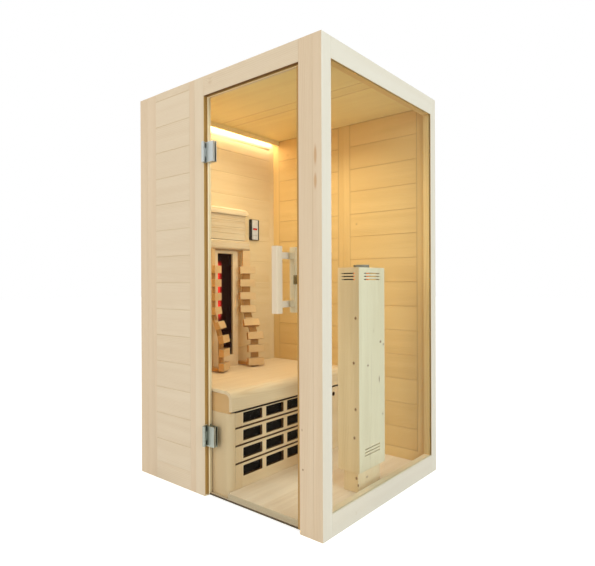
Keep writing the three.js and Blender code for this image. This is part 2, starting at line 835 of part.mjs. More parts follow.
// Backrest heater: a wooden frame, a troughed reflector and a dark pane
function buildBackrestHeater() {
  const frameX = [liningFace, liningFace + emitterFrameDepth];
  const openY = around(0, emitterWidth);
  const openZ = [seatHeight + emitterBottomRail, headrestBottom - emitterTopRail];
  const ring = framed(
    rectangle(around(0, emitterFrameWidth), [seatHeight, headrestBottom]),
    rectangle(openY, openZ),
  );
  addPiece('emitter_frame', alongX(ring, frameX), 'innerTimber');

  const innerZ = [openZ[0] + fitGap, openZ[1] - fitGap];
  const front = liningFace + reflectorThickness;
  const side = [openY[0] + fitGap, openY[1] - fitGap];
  const tray = outline([
    [liningFace, side[0]], [front, side[0]], [front, side[0] + reflectorLip],
    [front - reflectorTrough, 0], [front, side[1] - reflectorLip],
    [front, side[1]], [liningFace, side[1]],
  ]);
  addPiece('emitter_reflector', alongZ(tray, innerZ), 'steel');

  const paneFront = frameX[1] - emitterGlassSetback;
  const pane = block([paneFront - emitterGlassThickness, paneFront], side, innerZ);
  addPiece('emitter_glass', pane, 'darkGlass');
}

// Headrest: a lower cap, a slatted body and a rounded top roll
function buildHeadrest() {
  const capTop = headrestBottom + headrestCapHeight;
  const bodyTop = capTop + headrestBodyHeight;
  const rollTop = bodyTop + headrestRollHeight;
  const front = liningFace + headrestDepth;
  const width = around(0, headrestWidth);

  const noseX = front - headrestNoseRadius;
  const cap = new THREE.Shape();
  cap.moveTo(liningFace, headrestBottom);
  cap.absarc(noseX, headrestBottom + headrestNoseRadius, headrestNoseRadius, -Math.PI / 2, 0);
  cap.absarc(front - headrestCapRound, capTop - headrestCapRound, headrestCapRound, 0, Math.PI / 2);
  cap.lineTo(liningFace, capTop);
  const capWidth = around(0, headrestWidth + 2 * headrestCapOverhang);
  const capRound = headrestCapOverhang;
  const plan = new THREE.Shape();
  plan.moveTo(liningFace, capWidth[0]);
  plan.absarc(front - capRound, capWidth[0] + capRound, capRound, -Math.PI / 2, 0);
  plan.absarc(front - capRound, capWidth[1] - capRound, capRound, 0, Math.PI / 2);
  plan.lineTo(liningFace, capWidth[1]);
  const capSolid = common(alongY(cap, capWidth), alongZ(plan, [headrestBottom, capTop]));
  addPiece('headrest_lower_cap', capSolid, 'restTimber');

  const bodyFront = front - headrestBodyInsetFront;
  const slats = [];
  for (let slat = 1; slat < headrestSlats; slat += 1) {
    const joint = capTop + slat * headrestBodyHeight / headrestSlats;
    slats.push([bodyFront, joint - grooveWidth / 2]);
    slats.push([bodyFront - grooveDepth, joint]);
    slats.push([bodyFront, joint + grooveWidth / 2]);
  }
  const body = outline([
    [liningFace, capTop], [bodyFront, capTop], ...slats, [bodyFront, bodyTop], [liningFace, bodyTop],
  ]);
  const bodyWidth = around(0, headrestWidth - 2 * headrestBodyInsetEnd);
  const endRound = headrestEndRound;
  const bodyPlan = new THREE.Shape();
  bodyPlan.moveTo(liningFace, bodyWidth[0]);
  bodyPlan.absarc(bodyFront - endRound, bodyWidth[0] + endRound, endRound, -Math.PI / 2, 0);
  bodyPlan.absarc(bodyFront - endRound, bodyWidth[1] - endRound, endRound, 0, Math.PI / 2);
  bodyPlan.lineTo(liningFace, bodyWidth[1]);
  const bodySolid = common(alongY(body, bodyWidth), alongZ(bodyPlan, [capTop, bodyTop]));
  addPiece('headrest_body', bodySolid, 'restTimber');

  const side = new THREE.Shape();
  side.moveTo(liningFace, bodyTop);
  side.lineTo(front, bodyTop);
  const rollRadius = headrestRollRadius;
  side.absarc(front - rollRadius, rollTop - rollRadius, rollRadius, 0, Math.PI / 2);
  side.lineTo(liningFace, rollTop);
  const corner = headrestCornerRadius;
  const face = new THREE.Shape();
  face.moveTo(width[0], bodyTop);
  face.lineTo(width[1], bodyTop);
  face.absarc(width[1] - corner, rollTop - corner, corner, 0, Math.PI / 2);
  face.absarc(width[0] + corner, rollTop - corner, corner, Math.PI / 2, Math.PI);
  const roll = common(alongY(side, width), alongX(face, [liningFace, front]));
  addPiece('headrest_top_roll', roll, 'restTimber');
}

// Spine rests: how far the lath stands forward at a height, in a smooth step from top to seat
function lumbarStep(z) {
  const top = seatHeight + lumbarCentre + lumbarSpan / 2;
  return THREE.MathUtils.clamp((top - z) / lumbarSpan, 0, 1);
}

function bulgeAt(z) {
  const step = lumbarStep(z);
  return lumbarBulge * step * step * (3 - 2 * step);
}

function bulgeSlope(z) {
  const step = lumbarStep(z);
  return -6 * lumbarBulge / lumbarSpan * step * (1 - step);
}

// A lath with a rectangular section that stands on the seat and follows the bulge
function lathGeometry(turn, sideY, lathX, z) {
  const corners = [[0, -1], [1, -1], [1, 1], [0, 1]];
  const positions = [];
  for (let step = 0; step <= spineSteps; step += 1) {
    const height = THREE.MathUtils.lerp(z[0], z[1], step / spineSteps);
    for (const [depth, side] of corners) {
      const point = new THREE.Vector3(depth * spineLathThickness, side * spineLathWidth / 2, 0);
      point.applyAxisAngle(axisZ, turn);
      positions.push(point.x + lathX + bulgeAt(height), point.y + sideY, height);
    }
  }
  const indices = [];
  for (let step = 0; step < spineSteps; step += 1) {
    for (let corner = 0; corner < corners.length; corner += 1) {
      const next = (corner + 1) % corners.length;
      const low = step * corners.length;
      const high = low + corners.length;
      indices.push(low + corner, low + next, high + next);
      indices.push(low + corner, high + next, high + corner);
    }
  }
  const top = spineSteps * corners.length;
  indices.push(0, 2, 1, 0, 3, 2, top, top + 1, top + 2, top, top + 2, top + 3);
  const geometry = new THREE.BufferGeometry();
  geometry.setAttribute('position', new THREE.Float32BufferAttribute(positions, 3));
  geometry.setIndex(indices);
  return geometry;
}

function buildSpine(name, side) {
  const turn = -side * THREE.MathUtils.degToRad(spineTurn);
  const faceX = liningFace + spineReach;
  const sideY = side * spineSpacing;
  const normal = axisX.clone().applyAxisAngle(axisZ, turn);

  const lathBack = spineBlockDepth + spineLathThickness - spineSocket;
  const lathX = faceX - lathBack * normal.x;
  const lathY = sideY - lathBack * normal.y;
  const pieces = [lathGeometry(turn, lathY, lathX, [seatHeight + fitGap, headrestBottom - fitGap])];

  // The foot that ties the lath back to the wall, just above the seat
  const footBase = seatHeight + spineFootLift;
  const footEnd = lathX + bulgeAt(footBase) + spineLathThickness / 2;
  const footZ = [footBase, footBase + spineFootHeight];
  pieces.push(block([liningFace, footEnd], around(lathY, spineLathWidth * normal.x), footZ));

  const firstHeight = seatHeight + spineFirstBlock;
  const lastHeight = headrestBottom - spineTopClearance - spineBlockHeight / 2;
  const count = 1 + Math.floor((lastHeight - firstHeight) / spineBlockPitch);
  for (let index = 0; index < count; index += 1) {
    const height = firstHeight + index * spineBlockPitch;
    const tilt = Math.atan(bulgeSlope(height) * normal.x);
    const wood = new THREE.BoxGeometry(spineBlockDepth, spineBlockWidth, spineBlockHeight);
    wood.translate(-spineBlockDepth / 2, 0, 0).rotateY(tilt).rotateZ(turn);
    pieces.push(wood.translate(faceX + bulgeAt(height), sideY, height));
  }
  addPiece(name, joined(pieces), 'restTimber');
}

// Control panel: a housing, a fascia, a display and a row of push buttons
function buildControlPanel() {
  const centreY = headrestWidth / 2 + controlGap + controlWidth / 2;
  const centreZ = seatHeight + controlLift;
  const housingFront = liningFace + controlDepth;
  const housingShape = roundedRectangle(
    around(centreY, controlWidth), around(centreZ, controlHeight), controlCornerRadius,
  );
  addPiece('control_housing', alongX(housingShape, [liningFace, housingFront]), 'blackPlastic');

  const fasciaFront = housingFront + fasciaThickness;
  const displayY = around(centreY, displayWidth);
  const displayZ = [centreZ + displayLift, centreZ + displayLift + displayHeight];
  const buttonZ = centreZ - buttonDrop;
  const buttons = [
    { name: 'minus_button', y: centreY - buttonPitch },
    { name: 'power_button', y: centreY },
    { name: 'plus_button', y: centreY + buttonPitch },
  ];
  const fascia = rectangle(
    around(centreY, fasciaWidth), around(centreZ, controlHeight - 2 * fasciaMargin),
  );
  const window = rectangle(
    [displayY[0] - fitGap, displayY[1] + fitGap], [displayZ[0] - fitGap, displayZ[1] + fitGap],
  );
  fascia.holes.push(window);
  for (const button of buttons) {
    const hole = new THREE.Path();
    hole.absarc(button.y, buttonZ, buttonRadius + buttonClearance, 0, 2 * Math.PI);
    fascia.holes.push(hole);
  }
  addPiece('control_fascia', alongX(fascia, [housingFront, fasciaFront]), 'greyPlastic');

  const display = block([housingFront, housingFront + displayThickness], displayY, displayZ);
  addPiece('control_display', display, 'display');

  const buttonBack = housingFront + buttonTravel + fitGap;
  for (const button of buttons) {
    const cap = rodAlongX([buttonBack, fasciaFront + buttonProud], button.y, buttonZ, buttonRadius);
    addPiece(button.name, cap, 'blackPlastic');
  }
}

// Heater tower: a plinth, a carcass with air slots, an emitter that faces the bench, a dish
function buildTower() {
  const plinthX = [towerFront + towerPlinthInset, towerBack - towerPlinthInset];
  const plinthY = around(0, towerWidth - 2 * towerPlinthInset);
  const plinthHole = rectangle(
    [plinthX[0] + towerWall, plinthX[1] - towerWall], [plinthY[0] + towerWall, plinthY[1] - towerWall],
  );
  const plinth = framed(rectangle(plinthX, plinthY), plinthHole);
  addPiece('tower_plinth', alongZ(plinth, [floorThickness, towerBottom]), 'towerTimber');

  const outerY = around(0, towerWidth);
  const centreX = (towerFront + towerBack) / 2;
  const dishHoleRadius = dishRimRadius - dishRimWidth + dishHoleClearance;
  const emitterY = around(0, towerEmitterWidth);
  const emitterBottom = towerBottom + towerEmitterLift;
  const emitterZ = [emitterBottom, emitterBottom + towerEmitterHeight];
  const tools = [
    block(
      [towerFront + towerWall, towerBack - towerWall],
      [outerY[0] + towerWall, outerY[1] - towerWall],
      [towerBottom + towerWall, towerTop - towerWall],
    ),
    rodAlongZ(centreX, 0, [towerTop - 2 * towerWall, towerTop + towerWall], dishHoleRadius),
    block([towerFront - towerWall, towerFront + 2 * towerWall], emitterY, emitterZ),
  ];
  const slotRows = [];
  for (let row = 0; row < slotCount; row += 1) {
    slotRows.push({ z: towerTop - slotTopDrop - row * slotPitch, throughSides: true });
    slotRows.push({ z: towerBottom + slotBottomLift + row * slotPitch, throughSides: false });
  }
  for (const slot of slotRows) {
    const slotZ = around(slot.z, slotHeight);
    const backX = [towerBack - 2 * towerWall, towerBack + towerWall];
    tools.push(block(backX, around(0, slotFaceWidth), slotZ));
    if (slot.throughSides) {
      const acrossY = [outerY[0] - towerWall, outerY[1] + towerWall];
      tools.push(block(around(centreX, slotSideWidth), acrossY, slotZ));
    }
  }
  const box = block([towerFront, towerBack], outerY, [towerBottom, towerTop]);
  addPiece('tower_carcass', cut(box, tools), 'towerTimber');

  const paneX = towerFront + towerEmitterSetback;
  const pane = block(
    [paneX, paneX + towerEmitterThickness],
    [emitterY[0] + fitGap, emitterY[1] - fitGap],
    [emitterZ[0] + fitGap, emitterZ[1] - fitGap],
  );
  addPiece('tower_emitter', pane, 'darkGlass');

  // The dish is a turned bowl whose rim rests on the tower's top
  const bowlRadius = dishRimRadius - dishRimWidth;
  const profile = [
    [0, -dishDepth], [bowlRadius, -dishDepth], [bowlRadius, fitGap], [dishRimRadius, fitGap],
    [dishRimRadius, dishRimHeight], [dishRimRadius - dishWall, dishRimHeight],
    [dishRimRadius - dishWall, dishWall + fitGap], [bowlRadius - dishWall, dishWall + fitGap],
    [bowlRadius - dishWall, dishWall - dishDepth], [0, dishWall - dishDepth],
  ];
  const points = profile.map(([radius, height]) => new THREE.Vector2(radius, height));
  const dish = new THREE.LatheGeometry(points, roundSteps);
  dish.rotateX(Math.PI / 2).translate(centreX, 0, towerTop);
  addPiece('aroma_dish', dish, 'steel');
}

buildFloor();
buildDoorWall();
buildWindowWall();
buildFarWall();
buildBenchWall();
buildRoof();
buildDoorPane();
hingeNames.forEach((name, index) => buildHinge(name, hingeCentres[index]));
buildHandle();
buildCatch();
buildBench();
buildBackrestHeater();
buildHeadrest();
buildSpine('left_spine_rest', -1);
buildSpine('right_spine_rest', 1);
buildControlPanel();
buildTower();

export default cabin;
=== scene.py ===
# %% [markdown]
# # Infrared sauna cabin
# A one-person cabin of pale spruce with a glass door, a glass side wall, a heated bench, a shaped
# backrest and a heater tower. The solids come packed from the part's source, already at real size,
# so this lesson only dresses them: edges are eased, finishes are mixed from nodes, and the small
# things that a solid model leaves out are modelled on top.

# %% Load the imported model
import json
import math

import bpy
from mathutils import Matrix, Vector

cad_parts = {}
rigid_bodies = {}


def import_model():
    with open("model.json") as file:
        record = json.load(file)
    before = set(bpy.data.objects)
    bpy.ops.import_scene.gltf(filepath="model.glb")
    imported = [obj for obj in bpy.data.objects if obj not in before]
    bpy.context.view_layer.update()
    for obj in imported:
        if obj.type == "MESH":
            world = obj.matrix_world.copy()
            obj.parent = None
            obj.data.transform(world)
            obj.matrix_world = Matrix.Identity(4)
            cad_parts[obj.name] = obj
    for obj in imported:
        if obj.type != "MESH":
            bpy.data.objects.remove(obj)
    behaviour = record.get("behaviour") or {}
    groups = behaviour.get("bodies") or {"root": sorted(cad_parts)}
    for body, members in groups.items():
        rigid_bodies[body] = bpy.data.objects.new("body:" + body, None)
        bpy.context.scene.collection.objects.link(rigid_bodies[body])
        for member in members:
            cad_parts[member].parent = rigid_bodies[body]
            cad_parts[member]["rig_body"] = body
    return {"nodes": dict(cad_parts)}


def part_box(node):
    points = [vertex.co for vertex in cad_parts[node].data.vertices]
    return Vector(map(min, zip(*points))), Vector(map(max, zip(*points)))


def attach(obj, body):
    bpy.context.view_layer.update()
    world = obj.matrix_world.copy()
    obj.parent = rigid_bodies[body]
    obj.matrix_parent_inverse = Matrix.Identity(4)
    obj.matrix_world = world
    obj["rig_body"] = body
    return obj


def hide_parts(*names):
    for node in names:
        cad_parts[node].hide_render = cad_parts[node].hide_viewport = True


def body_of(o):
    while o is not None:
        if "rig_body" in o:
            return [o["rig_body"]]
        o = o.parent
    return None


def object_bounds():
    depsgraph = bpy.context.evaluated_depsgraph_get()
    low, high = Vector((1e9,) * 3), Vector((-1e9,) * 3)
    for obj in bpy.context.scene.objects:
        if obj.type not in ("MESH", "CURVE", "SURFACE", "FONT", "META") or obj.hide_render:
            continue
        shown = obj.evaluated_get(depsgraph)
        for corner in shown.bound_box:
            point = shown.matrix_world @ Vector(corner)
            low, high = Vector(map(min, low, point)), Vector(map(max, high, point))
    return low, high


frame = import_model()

scene = bpy.context.scene
cad_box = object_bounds()
print("CAD box", [[round(value, 4) for value in corner] for corner in cad_box])

# %% [markdown]
# ## Camera
# The view was solved from the straight edges of the cabin: the lens is a little wide, and the camera
# stands at chest height in front of the glass corner. Its three axes are written as a matrix, because
# that keeps the small roll that Euler angles would hide.

# %% Camera at the photograph's view
yaw = math.radians(39.717)
pitch = math.radians(-0.080)
roll = math.radians(-0.219)
level = math.cos(pitch)
forward = Vector((-math.sin(yaw) * level, math.cos(yaw) * level, math.sin(pitch)))
right = Vector((math.cos(yaw), math.sin(yaw), 0.0))
up = right.cross(forward)
camera_right = math.cos(roll) * right + math.sin(roll) * up
camera_up = math.cos(roll) * up - math.sin(roll) * right

bpy.ops.object.camera_add()
camera = bpy.context.object
camera.name = "photo_view"
camera.data.sensor_width = 36.0
camera.data.lens = 36.0 * 513.9 / 595.0
turned = Matrix((camera_right, camera_up, -forward)).transposed()
camera.matrix_world = Matrix.Translation((1.7788, -2.0374, 0.998)) @ turned.to_4x4()
scene.camera = camera
print("camera lens", round(camera.data.lens, 2), "mm")

# %% [markdown]
# ## Selecting and shaping
# Every operator works on what is selected, so each helper first lets go of everything else. Faces are
# then picked in code by their place or by where they point, as one would click them by hand.

# %% Helpers to select
def only(piece):
    """Deselect everything else and make this piece the active one, in object mode."""
    if bpy.context.mode != "OBJECT":
        bpy.ops.object.mode_set(mode="OBJECT")
    bpy.ops.object.select_all(action="DESELECT")
    piece.select_set(True)
    bpy.context.view_layer.objects.active = piece
    return piece


def start_fresh():
    """Deselect everything before a primitive is added."""
    if bpy.context.mode != "OBJECT":
        bpy.ops.object.mode_set(mode="OBJECT")
    bpy.ops.object.select_all(action="DESELECT")


def pick_faces(piece, wanted):
    """Open the piece in edit mode with just the wanted faces selected."""
    only(piece)
    bpy.ops.object.mode_set(mode="EDIT")
    bpy.ops.mesh.select_mode(type="FACE")
    bpy.ops.mesh.select_all(action="DESELECT")
    bpy.ops.object.mode_set(mode="OBJECT")
    for face in piece.data.polygons:
        face.select = wanted(face)
    bpy.ops.object.mode_set(mode="EDIT")


def settle(piece):
    """Put the object back at the origin, with its place kept in its mesh."""
    only(piece)
    bpy.ops.object.transform_apply(location=True, rotation=True, scale=True)
    return piece


def belongs(piece, name, body):
    """Name a finished piece, and say which body carries it."""
    piece.name = name
    piece.data.name = name
    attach(piece, body)
    return piece


print("helpers to select are ready")

# %% [markdown]
# ## Eased edges
# No real edge is razor sharp: timber is sanded, steel is tumbled and plastic is moulded with a
# radius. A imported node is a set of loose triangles, so a copy is merged, its flat faces are joined
# again, and a Bevel modifier rounds every edge sharper than 30 degrees. The copy then stands in for
# the node, which stays hidden for collision.

# %% Helper that eases a copy of a node
def even_shading(piece, smooth_angle):
    """Smooth the rounded edges while large flat faces stay flat."""
    only(piece)
    bpy.ops.object.shade_smooth_by_angle(angle=math.radians(smooth_angle))
    weighted = piece.modifiers.new("flat faces stay flat", "WEIGHTED_NORMAL")
    weighted.keep_sharp = True
    weighted.weight = 80
    bpy.ops.object.modifier_apply(modifier=weighted.name)


def eased(node_name, radius, segments=2, smooth_angle=40.0):
    """A merged copy of a node with rounded edges, standing in the node's place."""
    node = frame["nodes"][node_name]
    mesh = node.data.copy()
    mesh.materials.clear()
    piece = bpy.data.objects.new(f"{node_name}_dressed", mesh)
    scene.collection.objects.link(piece)
    only(piece)
    bpy.ops.mesh.customdata_custom_splitnormals_clear()
    bpy.ops.object.mode_set(mode="EDIT")
    bpy.ops.mesh.select_all(action="SELECT")
    bpy.ops.mesh.remove_doubles(threshold=0.000002)
    bpy.ops.mesh.dissolve_limited(angle_limit=math.radians(0.5))
    bpy.ops.object.mode_set(mode="OBJECT")
    if radius:
        bevel = piece.modifiers.new("eased edges", "BEVEL")
        bevel.width = radius
        bevel.segments = segments
        bevel.limit_method = "ANGLE"
        bevel.angle_limit = math.radians(30.0)
        bpy.ops.object.modifier_apply(modifier=bevel.name)
    even_shading(piece, smooth_angle)
    belongs(piece, f"{node_name}_dressed", body_of(node)[0])
    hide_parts(node_name)
    return piece


print("nodes to dress:", len(frame["nodes"]))

# %% [markdown]
# ## Mixing finishes from nodes
# A finish is a small tree of nodes. These helpers add one node each and hand back its output, so a
# material reads like a recipe. A value that is the same everywhere is written on the socket itself.

# %% Helpers to build node trees
def srgb(code):
    """A colour picked on screen, turned into the linear values that shaders use."""
    shares = [int(code[index:index + 2], 16) / 255.0 for index in (0, 2, 4)]
    linear = [s / 12.92 if s <= 0.04045 else ((s + 0.055) / 1.055) ** 2.4 for s in shares]
    return (*linear, 1.0)


def put(tree, value, socket):
    """Link an output to a socket, or write a plain value on it."""
    if isinstance(value, bpy.types.NodeSocket):
        tree.links.new(value, socket)
    else:
        socket.default_value = value


def maths(tree, operation, first, second=0.0):
    node = tree.nodes.new("ShaderNodeMath")
    node.operation = operation
    put(tree, first, node.inputs[0])
    put(tree, second, node.inputs[1])
    return node.outputs[0]


def fade(tree, value, low, high, start=0.0, end=1.0):
    """Goes smoothly from start at low to end at high."""
    node = tree.nodes.new("ShaderNodeMapRange")
    node.interpolation_type = "SMOOTHSTEP"
    put(tree, value, node.inputs["Value"])
    put(tree, low, node.inputs["From Min"])
    put(tree, high, node.inputs["From Max"])
    put(tree, start, node.inputs["To Min"])
    put(tree, end, node.inputs["To Max"])
    return node.outputs[0]


def blended(tree, share, first, second):
    """One colour mixed into another."""
    node = tree.nodes.new("ShaderNodeMix")
    node.data_type = "RGBA"
    put(tree, share, node.inputs[0])
    put(tree, first, node.inputs[6])
    put(tree, second, node.inputs[7])
    return node.outputs[2]


def split(tree, vector):
    node = tree.nodes.new("ShaderNodeSeparateXYZ")
    put(tree, vector, node.inputs[0])
    return node.outputs


def vector_of(tree, x, y, z):
    node = tree.nodes.new("ShaderNodeCombineXYZ")
    put(tree, x, node.inputs[0])
    put(tree, y, node.inputs[1])
    put(tree, z, node.inputs[2])
    return node.outputs[0]


def noise(tree, place, stretch, detail=2.0):
    """Cloudy values, with so many clouds to the metre along each direction."""
    scaled = tree.nodes.new("ShaderNodeVectorMath")
    scaled.operation = "MULTIPLY"
    put(tree, place, scaled.inputs[0])
    put(tree, stretch, scaled.inputs[1])
    node = tree.nodes.new("ShaderNodeTexNoise")
    put(tree, scaled.outputs[0], node.inputs["Vector"])
    node.inputs["Scale"].default_value = 1.0
    node.inputs["Detail"].default_value = detail
    return node.outputs[0]


def new_group(name, inputs, outputs):
    """An empty node group with named sockets, and its input and output nodes."""
    tree = bpy.data.node_groups.new(name, "ShaderNodeTree")
    for label, kind, value in inputs:
        socket = tree.interface.new_socket(name=label, in_out="INPUT", socket_type=kind)
        if value is not None:
            socket.default_value = value
    for label, kind in outputs:
        tree.interface.new_socket(name=label, in_out="OUTPUT", socket_type=kind)
    return tree, tree.nodes.new("NodeGroupInput").outputs, tree.nodes.new("NodeGroupOutput").inputs


def new_finish(name):
    """A material with its Principled shader, and Object coordinates to place patterns by."""
    material = bpy.data.materials.new(name)
    material.use_nodes = True
    tree = material.node_tree
    shader = tree.nodes["Principled BSDF"]
    place = tree.nodes.new("ShaderNodeTexCoord").outputs["Object"]
    return material, tree, shader, place


def bumped(tree, shader, height, strength, distance):
    """Let a height pattern tilt the light on the surface."""
    node = tree.nodes.new("ShaderNodeBump")
    node.inputs["Strength"].default_value = strength
    node.inputs["Distance"].default_value = distance
    put(tree, height, node.inputs["Height"])
    put(tree, node.outputs[0], shader.inputs["Normal"])


print("helpers for nodes are ready")

# %% [markdown]
# ## Spruce
# Planed spruce shows long pale bands between thin darker growth rings, finer fibres, a tone that
# differs from board to board, and now and then a small brown knot that the rings flow round. An image
# would repeat and blur, so the wood is a solid pattern: it runs through the piece, and the end of a
# post shows the same rings as its side. The group works in directions of its own, along the grain,
# across it and through the board, and each material says which way its boards lie.

# %% Node group for the grain of the timber
timber_grain, given, made = new_group(
    "timber grain",
    [
        ("Place", "NodeSocketVector", None),
        ("Pale", "NodeSocketColor", srgb("E8D6BA")),
        ("Dark", "NodeSocketColor", srgb("C9AC82")),
        ("Board Start", "NodeSocketFloat", 0.0),
        ("Board Width", "NodeSocketFloat", 4.0),
        ("Figure", "NodeSocketFloat", 0.5),
        ("Knots", "NodeSocketFloat", 0.2),
    ],
    [("Color", "NodeSocketColor"), ("Roughness", "NodeSocketFloat"), ("Height", "NodeSocketFloat")],
)
tree = timber_grain
along, across, through = split(tree, given["Place"])
board = maths(tree, "DIVIDE", maths(tree, "SUBTRACT", across, given["Board Start"]), given["Board Width"])
board = maths(tree, "FLOOR", board)
lot = tree.nodes.new("ShaderNodeTexWhiteNoise")
lot.noise_dimensions = "1D"
put(tree, board, lot.inputs["W"])
chance = lot.outputs["Value"]
shifted = vector_of(
    tree,
    maths(tree, "ADD", along, maths(tree, "MULTIPLY", chance, 9.0)),
    maths(tree, "ADD", across, maths(tree, "MULTIPLY", chance, 3.0)),
    through,
)

# Knots: one candidate point per cell, kept by chance, measured in metres
cell = Vector((0.20, 0.080, 0.040))
celled = tree.nodes.new("ShaderNodeVectorMath")
celled.operation = "DIVIDE"
put(tree, shifted, celled.inputs[0])
celled.inputs[1].default_value = cell
points = tree.nodes.new("ShaderNodeTexVoronoi")
points.inputs["Scale"].default_value = 1.0
put(tree, celled.outputs[0], points.inputs["Vector"])
offset = tree.nodes.new("ShaderNodeVectorMath")
offset.operation = "SUBTRACT"
put(tree, celled.outputs[0], offset.inputs[0])
put(tree, points.outputs["Position"], offset.inputs[1])
metric = tree.nodes.new("ShaderNodeVectorMath")
metric.operation = "MULTIPLY"
put(tree, offset.outputs[0], metric.inputs[0])
metric.inputs[1].default_value = (cell.x * 0.75, cell.y, cell.z)
length = tree.nodes.new("ShaderNodeVectorMath")
length.operation = "LENGTH"
put(tree, metric.outputs[0], length.inputs[0])
away = length.outputs["Value"]
tint = split(tree, points.outputs["Color"])
kept = maths(tree, "LESS_THAN", tint[0], given["Knots"])
size = fade(tree, tint[1], 0.0, 1.0, 0.0035, 0.0075)
knot = maths(tree, "MULTIPLY", kept, fade(tree, maths(tree, "DIVIDE", away, size), 0.55, 1.0, 1.0, 0.0))
push = maths(tree, "MULTIPLY", kept, fade(tree, maths(tree, "DIVIDE", away, size), 0.6, 4.0, 0.010, 0.0))

# Growth rings: thin dark lines that wander slowly and swerve round the knots
wander = noise(tree, shifted, (0.8, 5.0, 5.0), 1.0)
radial = maths(tree, "ADD", across, maths(tree, "MULTIPLY", through, 0.6))
radial = maths(tree, "ADD", radial, maths(tree, "MULTIPLY", wander, 0.085))
radial = maths(tree, "ADD", radial, push)
wave = maths(tree, "SINE", maths(tree, "MULTIPLY", radial, 2.0 * math.pi / 0.0068))
late = maths(tree, "POWER", maths(tree, "MULTIPLY_ADD", wave, 0.5), 2.5)
late.node.inputs[0].links[0].from_node.inputs[2].default_value = 0.5

# Broad streaks and fine fibres along the board
streak = noise(tree, shifted, (1.3, 26.0, 26.0), 3.0)
fibre = noise(tree, shifted, (16.0, 520.0, 520.0), 2.0)
shade = maths(tree, "MULTIPLY", late, fade(tree, streak, 0.25, 0.75, 0.25, 0.75))
shade = maths(tree, "ADD", shade, fade(tree, streak, 0.25, 0.75, 0.0, 0.35))
shade = maths(tree, "ADD", shade, fade(tree, fibre, 0.3, 0.7, -0.10, 0.10))
shade = maths(tree, "ADD", shade, fade(tree, chance, 0.0, 1.0, -0.10, 0.18))
shade = maths(tree, "MULTIPLY", shade, given["Figure"])
shade.node.use_clamp = True
tone = blended(tree, shade, given["Pale"], given["Dark"])
halo = maths(tree, "MULTIPLY", kept, fade(tree, maths(tree, "DIVIDE", away, size), 0.8, 2.2, 0.35, 0.0))
tone = blended(tree, halo, tone, given["Dark"])
tone = blended(tree, maths(tree, "MULTIPLY", knot, 0.85), tone, srgb("6B4424"))
put(tree, tone, made["Color"])
put(tree, fade(tree, fibre, 0.2, 0.8, 0.46, 0.60), made["Roughness"])
relief = maths(tree, "SUBTRACT", fade(tree, fibre, 0.2, 0.8), maths(tree, "MULTIPLY", late, 0.8))
put(tree, maths(tree, "ADD", relief, knot), made["Height"])
print("timber grain group has", len(tree.nodes), "nodes")

# %% [markdown]
# ## Marks that can be pointed at
# Some marks sit at a known place: the long pitch streaks on the corner post and the pin knots of the
# tower. A second small group draws one lens-shaped mark round a given point and hands back its mask.

# %% Node group for one lens-shaped mark
lens_mark, given, made = new_group(
    "lens mark",
    [
        ("Place", "NodeSocketVector", None),
        ("Centre", "NodeSocketVector", None),
        ("Reach", "NodeSocketVector", None),
    ],
    [("Mask", "NodeSocketFloat")],
)
tree = lens_mark
step = tree.nodes.new("ShaderNodeVectorMath")
step.operation = "SUBTRACT"
put(tree, given["Place"], step.inputs[0])
put(tree, given["Centre"], step.inputs[1])
scaled_step = tree.nodes.new("ShaderNodeVectorMath")
scaled_step.operation = "DIVIDE"
put(tree, step.outputs[0], scaled_step.inputs[0])
put(tree, given["Reach"], scaled_step.inputs[1])
far = tree.nodes.new("ShaderNodeVectorMath")
far.operation = "LENGTH"
put(tree, scaled_step.outputs[0], far.inputs[0])
put(tree, fade(tree, far.outputs["Value"], 0.35, 1.0, 1.0, 0.0), made["Mask"])
print("lens mark group has", len(tree.nodes), "nodes")

# %% [markdown]
# ## Tones of the same wood
# The outside is bleached and almost white, the lining inside is honey-coloured, the seat and the
# backrest are a warm smooth board, and the tower is pale with pin knots. One function mixes each
# tone for each direction of the boards, and keeps what it made, so a material is built only once.

